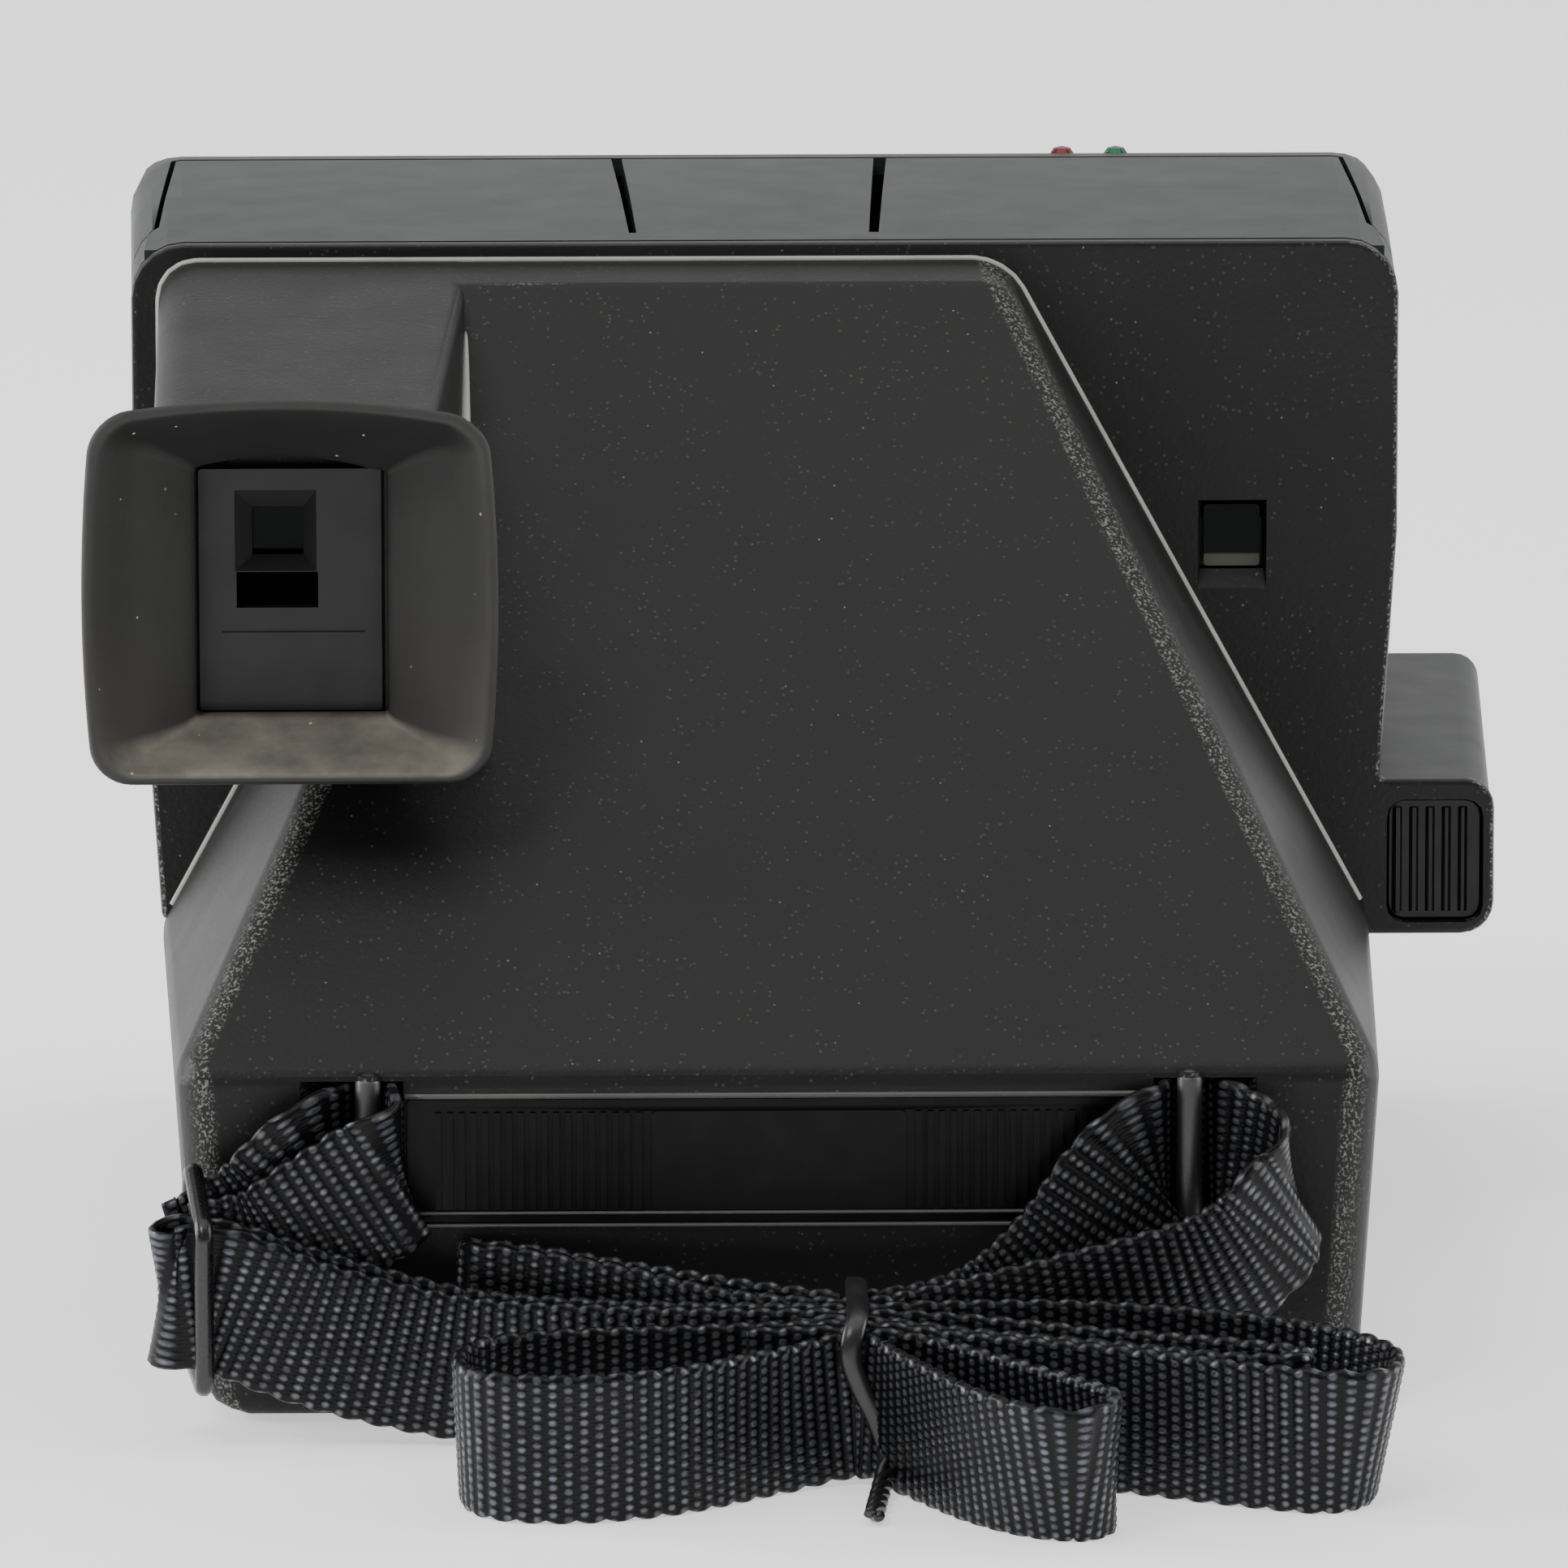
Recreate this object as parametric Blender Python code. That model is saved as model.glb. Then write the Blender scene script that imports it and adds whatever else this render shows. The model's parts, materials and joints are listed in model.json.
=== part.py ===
"""Box-type instant camera with a flip-up flash, an eyecup and a bundled neck strap.

Lengths are in millimetres and become metres where vertices are made.
+X is the photographer's right, +Y is the way the lens looks and +Z is up.
The origin is on the resting plane, under the middle of the body.
"""
import math

import bmesh
import bpy
from mathutils import Vector

MM = 0.001

# ---- stations along Y ----
REAR = -73.0            # rear face of the film box
BEZEL = -2.1            # rear face of the tall housing
PLATE_END = 0.2         # front of the rear shell's housing plate
FACE = 46.7             # front edge of the housing
NOSE = 73.0             # front of the film door and of the closed flash unit
HUMP_TOP_END = -9.6     # where the mirror hump's flat top turns into its slope

# ---- heights ----
BOX_TOP = 30.85         # top of the film box, where the slope starts
HUMP_TOP = 92.5
HUMP_EDGE = 91.25        # rear edge of the hump's top, which falls a little to the rear
HOUSING_REAR_TOP = 93.75
HOUSING_TOP = 94.9
SKIRT = 31.2            # lower edge of the housing

# ---- half widths ----
BOX_REAR_HALF = 52.5
BOX_HALF = 55.6
BOX_DRAFT = 2.0         # the film box is narrower at the floor by this much a side
HUMP_TOP_HALF = 21.9
WIDEST_ROUND = 4.4      # how far the rear body's widest rounding reaches from an edge
HUMP_EDGE_ROUND = 0.6   # the same, at the rear edge of the hump's top
HOUSING_HALF = 57.9     # at the rear; the housing flares to the front
HOUSING_KNEE = 67.0     # height below which the housing's sides lean inwards
HOUSING_FOOT_HALF = 55.6
NOSE_HALF = 59.3        # at the front, and of the flash unit
NOSE_FOOT_HALF = 57.2
CORNER_R = 4.8

# ---- flash unit ----
PIVOT_Y = 24.5
PIVOT_Z = 84.0
ARM_R = 15.9            # round rear end of each arm, about the pivot
ARM_IN = 55.9           # inner side of each arm, beside the pivot
ARM_SLANT = 0.019       # how much further in that side lies for each mm to the front
SLIT = 0.5              # gap round the arms
LID_BACK = 47.6
LID_FOOT = 47.0
LID_WALL = 2.2
PIN_R = 2.0

# ---- side pod ----
POD_IN = 54.2
POD_OUT = 67.0
POD_LOW = 29.3
POD_HIGH = 43.7
POD_END = 66.0
POD_FLARE = 2.8         # how much further out the pod's side lies at its front
BUTTON_X = 61.6
BUTTON_Z = 36.6
BUTTON_R = 3.6

# ---- optics ----
LENS_Z = 60.0
FINDER_X = -43.7
FINDER_Z = 75.3
CELL_X = 30.0
CELL_Z = 72.0

# ---- film door ----
DOOR_BACK = 46.6
DOOR_FOOT = 1.5
DOOR_TOP = 30.6
HINGE_Y = 49.0
HINGE_Z = 4.0
KNUCKLE_R = 2.0
KNUCKLE_ROOM = 2.9      # radius kept clear in the door, so that the tray passes below it
ROLLER_Y = 56.0
NIP_Z = 21.9
ROLLER_R = 2.5
ROLLER_HALF = 41.0

# ---- strap lugs ----
LUG_X = 35.8
LUG_R = 1.05
LUG_LOW = 17.2
LUG_HIGH = 30.35
LUG_DEEP = 3.6

# ---- neck strap ----
WEB_W = 12.5            # half-inch webbing
WEB_T = 1.2
TIE_X = 6.4
STACK_BACK = -87.0      # layer of the bundle next to the body, at the tie
STACK_PITCH = 1.55
TWIST = 0.002           # a loft's side that lies further than this out of flat is split
GAP = 0.3               # between pieces that touch


# ======================================================================
# Materials and object plumbing
# ======================================================================

def material(name, colour, roughness, metallic=0.0):
    """A Principled material, made once and shared."""
    found = bpy.data.materials.get(name)
    if found:
        return found
    made = bpy.data.materials.new(name)
    made.use_nodes = True
    shader = made.node_tree.nodes["Principled BSDF"]
    shader.inputs["Base Color"].default_value = (*colour, 1.0)
    shader.inputs["Roughness"].default_value = roughness
    shader.inputs["Metallic"].default_value = metallic
    made.diffuse_color = (*colour, 1.0)
    return made


def finishes():
    """Every finish of the camera, by name."""
    return {
        "grained": material("grained_plastic", (0.020, 0.019, 0.018), 0.48),
        "smooth": material("satin_plastic", (0.055, 0.060, 0.057), 0.42),
        "gloss": material("gloss_plastic", (0.010, 0.010, 0.011), 0.18),
        "rubber": material("rubber", (0.035, 0.033, 0.035), 0.80),
        "clear": material("clear_plastic", (0.55, 0.60, 0.62), 0.05),
        "glass": material("coated_glass", (0.10, 0.10, 0.16), 0.03),
        "mirror": material("mirror", (0.85, 0.86, 0.86), 0.04, 1.0),
        "steel": material("steel", (0.45, 0.45, 0.45), 0.32, 1.0),
        "dial": material("dial", (0.020, 0.020, 0.021), 0.50),
        "red": material("red_lens", (0.60, 0.03, 0.03), 0.12),
        "green": material("green_lens", (0.03, 0.50, 0.18), 0.12),
        "webbing": material("webbing", (0.020, 0.020, 0.024), 0.60),
        "tie": material("tie", (0.012, 0.012, 0.012), 0.45),
        "button": material("button_plastic", (0.25, 0.03, 0.02), 0.35),
    }


def finish_object(name, mesh_data, finish, smooth=True):
    """Closes a bmesh into a named object with faces pointing out."""
    bmesh.ops.recalc_face_normals(mesh_data, faces=mesh_data.faces[:])
    mesh = bpy.data.meshes.new(name)
    mesh_data.to_mesh(mesh)
    mesh_data.free()
    obj = bpy.data.objects.new(name, mesh)
    bpy.context.scene.collection.objects.link(obj)
    if finish:
        mesh.materials.append(finish)
    if smooth:
        mesh.shade_smooth()
        mesh.set_sharp_from_angle(angle=math.radians(32))
    return obj


def place(axis, a, b, depth):
    """A point from an outline's two coordinates and its depth along the axis."""
    if axis == "x":
        point = Vector((depth, a, b))
    elif axis == "y":
        point = Vector((a, depth, b))
    else:
        point = Vector((a, b, depth))
    return point * MM


# ======================================================================
# Shapes
# ======================================================================

def rounded(corners, radii, steps=4):
    """An outline whose corners become arcs; a radius of 0 keeps a corner."""
    if not isinstance(radii, (list, tuple)):
        radii = [radii] * len(corners)
    outline = []
    count = len(corners)
    for index, radius in enumerate(radii):
        here = Vector(corners[index])
        if radius <= 0:
            outline.append((here.x, here.y))
            continue
        back = (Vector(corners[index - 1]) - here).normalized()
        ahead = (Vector(corners[(index + 1) % count]) - here).normalized()
        half = back.angle(ahead) / 2
        centre = here + (back + ahead).normalized() * (radius / math.sin(half))
        start = here + back * (radius / math.tan(half)) - centre
        end = here + ahead * (radius / math.tan(half)) - centre
        turn = start.angle_signed(end)
        for step in range(steps + 1):
            angle = -turn * step / steps
            x = start.x * math.cos(angle) - start.y * math.sin(angle)
            y = start.x * math.sin(angle) + start.y * math.cos(angle)
            outline.append((centre.x + x, centre.y + y))
    return outline


def rectangle(a0, b0, a1, b1, radius=0, steps=3):
    """A rectangle, given by two corners, with rounded corners if asked."""
    return rounded([(a0, b0), (a1, b0), (a1, b1), (a0, b1)], radius, steps)


def circle(a, b, radius, steps=24, start=0.0, sweep=360.0):
    """Points round a circle, or along an arc of it when sweep is below 360."""
    whole = abs(sweep) >= 360.0
    count = steps if whole else steps + 1
    angles = [math.radians(start + sweep * k / steps) for k in range(count)]
    return [(a + radius * math.cos(t), b + radius * math.sin(t)) for t in angles]


def loft(name, axis, sections, finish=None, smooth=True):
    """A solid through outlines of equal length; sections are (depth, outline)."""
    mesh_data = bmesh.new()
    rings = []
    for depth, outline in sections:
        rings.append([mesh_data.verts.new(place(axis, a, b, depth)) for a, b in outline])
    count = len(rings[0])
    for lower, upper in zip(rings, rings[1:]):
        for k in range(count):
            after = (k + 1) % count
            mesh_data.faces.new((lower[k], lower[after], upper[after], upper[k]))
    mesh_data.normal_update()
    twisted = [face for face in mesh_data.faces
               if abs((face.verts[3].co - face.verts[0].co).dot(face.normal)) > TWIST * MM]
    bmesh.ops.triangulate(mesh_data, faces=twisted)
    mesh_data.faces.new(rings[0])
    mesh_data.faces.new(rings[-1])
    return finish_object(name, mesh_data, finish, smooth)


def prism(name, axis, outline, low, high, finish=None, smooth=True):
    """An outline pushed straight from low to high along the axis."""
    return loft(name, axis, [(low, outline), (high, outline)], finish, smooth)


def box(name, low, high, finish=None):
    """A plain block between two corners, used inside other shapes."""
    outline = rectangle(low[0], low[1], high[0], high[1])
    return prism(name, "z", outline, low[2], high[2], finish, smooth=False)


def hull(name, points, finish=None):
    """The convex solid of some points, with its flat faces merged."""
    mesh_data = bmesh.new()
    verts = [mesh_data.verts.new(Vector(p) * MM) for p in points]
    bmesh.ops.convex_hull(mesh_data, input=verts)
    bmesh.ops.dissolve_limit(
        mesh_data, angle_limit=math.radians(1.0),
        verts=mesh_data.verts[:], edges=mesh_data.edges[:])
    return finish_object(name, mesh_data, finish, smooth=False)


def turned(name, profile, centre, axis, finish=None, steps=24, closed=False):
    """A profile of (radius, height) turned round an axis through centre.

    An open profile starts and ends on the axis; a closed one is a ring.
    """
    mesh_data = bmesh.new()
    frames = {"x": (1, 2, 0), "y": (0, 2, 1), "z": (0, 1, 2)}
    first, second, along = frames[axis]
    rings = []
    for radius, height in profile:
        ring = []
        for k in range(1 if radius < 1e-6 else steps):
            angle = math.tau * k / steps
            point = Vector(centre)
            point[first] += radius * math.cos(angle)
            point[second] += radius * math.sin(angle)
            point[along] += height
            ring.append(mesh_data.verts.new(point * MM))
        rings.append(ring)
    pairs = list(zip(rings, rings[1:]))
    if closed:
        pairs.append((rings[-1], rings[0]))
    for lower, upper in pairs:
        for k in range(steps):
            after = (k + 1) % steps
            corners = [lower[k % len(lower)], lower[after % len(lower)],
                       upper[after % len(upper)], upper[k % len(upper)]]
            unique = list(dict.fromkeys(corners))
            if len(unique) > 2:
                mesh_data.faces.new(unique)
    return finish_object(name, mesh_data, finish)


def rod(name, axis, centre, radius, low, high, finish=None, steps=20, chamfer=0.0):
    """A round bar along an axis; centre gives the other two coordinates."""
    profile = [(0, low), (radius - chamfer, low), (radius, low + chamfer),
               (radius, high - chamfer), (radius - chamfer, high), (0, high)]
    if chamfer == 0:
        profile = [(0, low), (radius, low), (radius, high), (0, high)]
    return turned(name, profile, centre, axis, finish, steps)


def combine(target, other, operation):
    """Adds a Boolean with a hidden helper shape."""
    other.hide_render = True
    other.display_type = "WIRE"
    modifier = target.modifiers.new(operation.lower(), "BOOLEAN")
    modifier.operation = operation
    modifier.solver = "EXACT"
    modifier.object = other
    return target


def cut(target, *others):
    """Takes helper shapes away from a solid."""
    for other in others:
        combine(target, other, "DIFFERENCE")
    return target


def join(target, *others):
    """Fuses helper shapes into a solid."""
    for other in others:
        combine(target, other, "UNION")
    return target


def keep(target, other):
    """Keeps only what a solid shares with a helper shape."""
    return combine(target, other, "INTERSECT")


def soften(obj, width, segments=2, angle=35.0):
    """Rounds the sharp edges of a shape before it is cut."""
    modifier = obj.modifiers.new("soft_edges", "BEVEL")
    modifier.width = width * MM
    modifier.segments = segments
    modifier.limit_method = "ANGLE"
    modifier.angle_limit = math.radians(angle)
    return obj


def pivot(name, position, *children):
    """An empty on a joint's axis that carries the pieces which turn there."""
    empty = bpy.data.objects.new(name, None)
    empty.location = Vector(position) * MM
    bpy.context.scene.collection.objects.link(empty)
    bpy.context.view_layer.update()
    for child in children:
        child.parent = empty
        child.matrix_parent_inverse = empty.matrix_world.inverted()
    return empty


# ======================================================================
# Shared outlines
# ======================================================================

def housing_outline(y, top, inset=0.0, foot=SKIRT):
    """The tall housing cut across at y: upright sides that lean in below the knee."""
    share = min(max(y / FACE, 0.0), 1.0)
    half = HOUSING_HALF + (NOSE_HALF - HOUSING_HALF) * share - inset
    skirt_half = HOUSING_FOOT_HALF + (NOSE_FOOT_HALF - HOUSING_FOOT_HALF) * share - inset
    ankle = half - (half - skirt_half) * (HOUSING_KNEE - foot) / (HOUSING_KNEE - SKIRT)
    radius = max(CORNER_R - inset, 1.0)
    return rounded(
        [(-ankle, foot), (ankle, foot), (half, HOUSING_KNEE), (half, top - inset),
         (-half, top - inset), (-half, HOUSING_KNEE)], [0, 0, 0, radius, radius, 0], 5)


def box_outline(half, top, foot=0.4, radius=5.0):
    """The film box seen from behind, narrower at the floor."""
    low = half - BOX_DRAFT
    return rounded([(-low, foot), (low, foot), (half, top), (-half, top)],
                   [radius, radius, 0.8, 0.8], 4)


def arm_inside(y):
    """How far out an arm's inner side lies; the arms thicken a little to the front."""
    return ARM_IN - ARM_SLANT * (y - PIVOT_Y)


def slant(form):
    """Turns the inner end of a straight channel parallel to the arm's inner side."""
    for vertex in form.data.vertices:
        x, y, z = vertex.co / MM
        if abs(x) < HOUSING_HALF:
            vertex.co.x = math.copysign(arm_inside(y) - SLIT, x) * MM
    return form


def arm_outline(radius, front, low):
    """Side view of a flash arm: a round rear end that runs on to the front."""
    arc = circle(PIVOT_Y, PIVOT_Z, radius, 14, start=270.0, sweep=-180.0)
    return [(front, low)] + arc + [(front, PIVOT_Z + radius)]


# ======================================================================
# Body
# ======================================================================

def rear_body(tag, finish):
    """Film box and mirror hump as one convex form, with graded round edges."""
    front = BEZEL + 1.2
    widening = (BOX_HALF - BOX_REAR_HALF) / (front - REAR)
    narrowing = (BOX_HALF - HUMP_TOP_HALF) / (HUMP_TOP - BOX_TOP)
    rear_top = BOX_HALF - widening * (front - HUMP_TOP_END) - narrowing * (HUMP_EDGE - BOX_TOP)
    points = []
    for side in (-1, 1):
        points += [
            (side * (BOX_REAR_HALF - BOX_DRAFT), REAR, 0.4),
            (side * BOX_REAR_HALF, REAR, BOX_TOP),
            (side * (BOX_HALF - BOX_DRAFT), front, 0.4),
            (side * BOX_HALF, front, BOX_TOP),
            (side * rear_top, HUMP_TOP_END, HUMP_EDGE),
            (side * HUMP_TOP_HALF, front, HUMP_TOP),
        ]
    body = hull(tag, points, finish)
    weights = body.data.attributes.new("bevel_weight_edge", "FLOAT", "EDGE")
    for edge in body.data.edges:
        ends = [body.data.vertices[index].co / MM for index in edge.vertices]
        weights.data[edge.index].value = edge_weight(*ends)
    bevel = body.modifiers.new("round_edges", "BEVEL")
    bevel.width = WIDEST_ROUND * MM
    bevel.segments = 4
    bevel.limit_method = "WEIGHT"
    bevel.use_clamp_overlap = True
    return body


def edge_weight(one, two):
    """How round an edge of the rear body is, as a share of the widest rounding."""
    middle = (one + two) / 2
    along = two - one
    if middle.y > BEZEL:
        return 0.0
    if abs(along.z) < 0.5 and abs(along.x) > 10:
        if middle.z > 80:
            return HUMP_EDGE_ROUND / WIDEST_ROUND
        return 0.25 if middle.z > 10 else 0.4
    if abs(middle.y - REAR) < 1:
        return 0.8
    if abs(along.z) > 20:
        return 0.55
    if middle.z > 80:
        return 0.66
    return 0.3 if middle.z > 10 else 1.0


def hump_top(y):
    """Height of the plane that the hump's top and the finder housing's top share."""
    return HUMP_TOP + (y - BEZEL - 1.2) * (HUMP_TOP - HUMP_EDGE) / (BEZEL + 1.2 - HUMP_TOP_END)


def finder_housing():
    """Block of the viewfinder, left of the hump, its top falling to the rear."""
    front_y, rear_y = BEZEL + 1.0, -50.0
    front = rounded([(-55.35, 57.5), (-25.2, 57.5), (-26.9, hump_top(front_y) + 0.02),
                     (-55.35, hump_top(front_y) + 0.02)], [2.0, 0, 1.2, 3.4], 4)
    rear = rounded([(-54.7, 57.5), (-25.2, 57.5), (-29.9, hump_top(rear_y) + 0.02),
                    (-54.7, hump_top(rear_y) + 0.02)], [2.0, 0, 1.6, 3.4], 4)
    return loft("finder_housing_form", "y", [(front_y, front), (rear_y, rear)])


def finder_shoulder():
    """Stretch of the hump's slope that runs on left to the finder housing."""
    lean = (HUMP_EDGE - BOX_TOP) / (HUMP_TOP_END - REAR)
    turn = math.atan(lean) - math.atan((HUMP_TOP - HUMP_EDGE) / (BEZEL + 1.2 - HUMP_TOP_END))
    sunk = 0.01
    foot_y = -38.0
    side_view = rounded(
        [(BEZEL + 1.0, hump_top(BEZEL + 1.0) - sunk), (HUMP_TOP_END, HUMP_EDGE - sunk),
         (foot_y, HUMP_EDGE - sunk - lean * (HUMP_TOP_END - foot_y)), (BEZEL + 1.0, 62.0)],
        [0, HUMP_EDGE_ROUND / math.tan(turn / 2), 0, 0], 4)
    return prism("finder_shoulder_form", "x", side_view, -28.4, -14.0)


def bezel_plate():
    """Rear wall of the tall housing, with the frame of the side pod."""
    outline = rounded(
        [(-53.0, 22.0), (53.0, 22.0), (53.0, POD_LOW), (POD_OUT, POD_LOW),
         (POD_OUT, POD_HIGH), (56.4, POD_HIGH), (HOUSING_HALF, HOUSING_KNEE),
         (HOUSING_HALF, HOUSING_REAR_TOP), (-HOUSING_HALF, HOUSING_REAR_TOP),
         (-HOUSING_HALF, HOUSING_KNEE), (-HOUSING_FOOT_HALF, SKIRT), (-53.0, SKIRT)],
        [0, 0, 0, 3.0, 2.6, 0.6, 0, CORNER_R, CORNER_R, 0, 0, 0], 5)
    return soften(prism("bezel_form", "y", outline, BEZEL, PLATE_END), 0.5, 2, 50)


def rear_shell(look):
    """Grained rear shell: film box, mirror hump, finder block and housing wall."""
    shell = rear_body("rear_shell", look["grained"])
    front_box = prism("front_box_form", "y", box_outline(BOX_HALF - 0.1, SKIRT - 0.6),
                      BEZEL - 1.5, DOOR_BACK - 0.6)
    join(shell, finder_shoulder(), finder_housing(), bezel_plate(), front_box)

    inner = hull("hump_hollow", [
        (s * x, y, z) for s in (-1, 1) for x, y, z in (
            (43.0, -66.5, 20.0), (43.0, 3.0, 20.0), (49.0, -66.8, 29.3),
            (52.2, 3.0, 29.5), (19.0, -10.5, 87.6), (19.6, 3.0, 88.6))])
    chamber = box("chamber_hollow", (-45.4, -66.0, -3.0), (45.4, 60.0, 27.0))
    side_bay = box("side_bay_hollow", (47.2, 2.0, 6.0), (53.0, 60.0, 26.4))
    tunnel = box("tunnel_hollow", (-48.4, -60.0, 67.6), (-39.2, 6.0, 80.6))
    eyepiece_seat = box("eyepiece_seat", (-51.0, -60.0, 58.7), (-34.3, -47.4, 82.4))
    cut(shell, inner, chamber, side_bay, tunnel, eyepiece_seat)

    window = loft("window_cut", "y", [
        (BEZEL - 1.0, rectangle(39.4, 60.6, 46.1, 70.1)),
        (BEZEL + 1.4, rectangle(39.9, 63.3, 45.6, 69.6)),
        (BEZEL + 6.0, rectangle(39.9, 63.3, 45.6, 69.6))])
    tile_hole = prism("tile_cut", "y", rectangle(57.1, 30.4, 66.0, 41.9, 1.6), -8.0, 8.0)
    cut(shell, window, tile_hole)

    grip_seat = box("grip_seat", (-33.0, REAR - 5, 17.3), (33.0, REAR + 1.2, 29.2))
    cut(shell, grip_seat)
    for side in (-1, 1):
        pocket = prism("lug_pocket", "z", [
            (side * 32.7, REAR - 5), (side * 32.7, REAR + 1.2), (side * 34.4, REAR + LUG_DEEP),
            (side * 37.6, REAR + LUG_DEEP), (side * 42.0, REAR - 0.2), (side * 42.0, REAR - 5)],
            LUG_LOW, LUG_HIGH)
        cut(shell, pocket)
        bar = rod("lug_form", "z", (side * LUG_X, REAR - 0.4, 0), LUG_R, LUG_LOW - 1.2,
                  LUG_HIGH + 0.7, steps=14)
        foot = box("lug_foot", (side * LUG_X - 0.8, REAR - 1.0, LUG_LOW - 1.2),
                   (side * LUG_X + 0.8, REAR + 2.0, LUG_LOW - 0.1))
        head = box("lug_head", (side * LUG_X - 0.8, REAR - 1.0, LUG_HIGH + 0.05),
                   (side * LUG_X + 0.8, REAR + 2.0, LUG_HIGH + 0.7))
        join(shell, bar, foot, head)
        screw_hole = rod("pillar_hole", "z", (side * 48.6, -58.0, 0), 1.5, -3.0, 8.0)
        cut(shell, screw_hole)
        screw_hole = rod("pillar_hole", "z", (side * 48.6, 30.0, 0), 1.5, -3.0, 5.0)
        cut(shell, screw_hole)
    return shell


def base_tray(look):
    """Floor of the film box, with stiffening ribs and the door's knuckles."""
    floor = prism("base_tray", "z", rectangle(-45.0, -65.6, 45.0, 45.6, 2.0), 0.0, 2.4,
                  look["grained"])
    for y in (-50.0, -25.0, 0.0, 25.0):
        join(floor, box("floor_rib", (-40.0, y - 0.8, 2.0), (40.0, y + 0.8, 3.2)))
    for side in (-1, 1):
        inner, outer = side * 30.0, side * 36.0
        low, high = sorted((inner, outer))
        ends = circle(HINGE_Y, HINGE_Z, KNUCKLE_R, 12, start=-90.0, sweep=180.0)
        knuckle = prism("knuckle", "x", [(43.0, 0.2)] + [(45.2, 0.2)] + ends + [(43.0, 6.0)],
                        low, high)
        join(floor, knuckle)
        cut(floor, rod("knuckle_bore", "x", (0, HINGE_Y, HINGE_Z), 1.2, low - 2, high + 2))
    return floor


def floor_screws(look):
    """Four screws under the film box."""
    made = []
    spots = [(-48.6, -58.0, 7.0), (48.6, -58.0, 7.0), (-48.6, 30.0, 4.4), (48.6, 30.0, 4.4)]
    for number, (x, y, depth) in enumerate(spots, 1):
        profile = [(0, depth), (1.1, depth), (1.1, 0.9), (1.2, 0.9), (1.2, 0.6), (0, 0.6)]
        made.append(turned(f"base_screw_{number}", profile, (x, y, 0), "z",
                           look["steel"], 12))
    return made


def grip_panel(look):
    """Bare plate between two ribbed finger grips on the film box."""
    back = REAR + 1.2 - GAP
    frame = prism("grip_panel", "y", rectangle(-32.4, 17.7, 32.4, 28.8, 0.6), REAR + 0.3, back,
                  look["gloss"])
    plate = prism("grip_plate", "y", rectangle(-11.1, 18.8, 11.1, 27.6, 0.5),
                  REAR + 0.0, REAR + 0.6)
    join(frame, plate)
    rim = prism("grip_rim", "y", rectangle(-32.0, 28.1, 32.0, 28.7), REAR - 0.1, REAR + 0.6)
    join(frame, rim)
    pitch = 1.03
    for side in (-1, 1):
        for number in range(18):
            x = side * (12.2 + pitch * number)
            rib = prism("grip_rib", "y", rectangle(x - 0.26, 18.9, x + 0.26, 27.5),
                        REAR - 0.05, REAR + 0.6)
            join(frame, rib)
    return frame


# ======================================================================
# Viewfinder, counter, optics
# ======================================================================

def eyecup_ring(half_x, low, high, radius, y, bow=0.0, bulge=0.0, steps=5):
    """One rounded-square ring of the eyecup, its top bowed up and its sides bulging."""
    centre_x, middle, half_z = -42.5, (low + high) / 2, (high - low) / 2
    outline = rounded(
        [(-half_x, -half_z), (half_x, -half_z), (half_x, half_z), (-half_x, half_z)],
        radius, steps)
    filled = []
    for index, (a, b) in enumerate(outline):
        after = outline[(index + 1) % len(outline)]
        pieces = 4 if math.hypot(after[0] - a, after[1] - b) > half_x else 1
        for k in range(pieces):
            t = k / pieces
            filled.append((a + (after[0] - a) * t, b + (after[1] - b) * t))
    ring = []
    for a, b in filled:
        lift = bow * max(0.0, 1 - ((a + 1.0) / half_x) ** 2) if b > 0.5 * half_z else 0.0
        belly = bulge * max(0.0, 1 - (b / half_z) ** 2) if abs(a) > 0.5 * half_x else 0.0
        ring.append((centre_x + a + math.copysign(belly, a), y, middle + b + lift))
    return ring


def eyecup(look):
    """Soft flared cup round the eyepiece: rings out to the lip and back in."""
    seat = -50.0 - GAP
    rings = [
        eyecup_ring(11.4, 57.3, 84.1, 2.6, seat),
        eyecup_ring(12.4, 56.9, 84.5, 2.8, seat - 2.0),
        eyecup_ring(16.0, 55.2, 86.2, 3.2, seat - 7.0, 1.0, 0.6),
        eyecup_ring(17.3, 54.5, 86.9, 3.3, seat - 10.0, 1.5, 0.9),
        eyecup_ring(17.1, 54.7, 86.7, 3.2, seat - 10.8, 1.6, 0.9),
        eyecup_ring(16.4, 55.4, 86.0, 2.8, seat - 10.6, 1.6, 0.9),
        eyecup_ring(13.9, 56.7, 84.2, 1.3, seat - 7.0, 1.5, 0.5),
        eyecup_ring(9.0, 58.5, 81.5, 0.5, seat - 2.6, 1.4),
        eyecup_ring(8.3, 59.1, 80.7, 0.4, seat - 1.6, 1.3),
        eyecup_ring(8.3, 59.1, 80.7, 0.4, seat, 1.3),
    ]
    mesh_data = bmesh.new()
    rows = [[mesh_data.verts.new(Vector(p) * MM) for p in ring] for ring in rings]
    count = len(rows[0])
    for lower, upper in zip(rows, rows[1:] + rows[:1]):
        for k in range(count):
            after = (k + 1) % count
            mesh_data.faces.new((lower[k], lower[after], upper[after], upper[k]))
    return finish_object("eyecup", mesh_data, look["rubber"])


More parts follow.
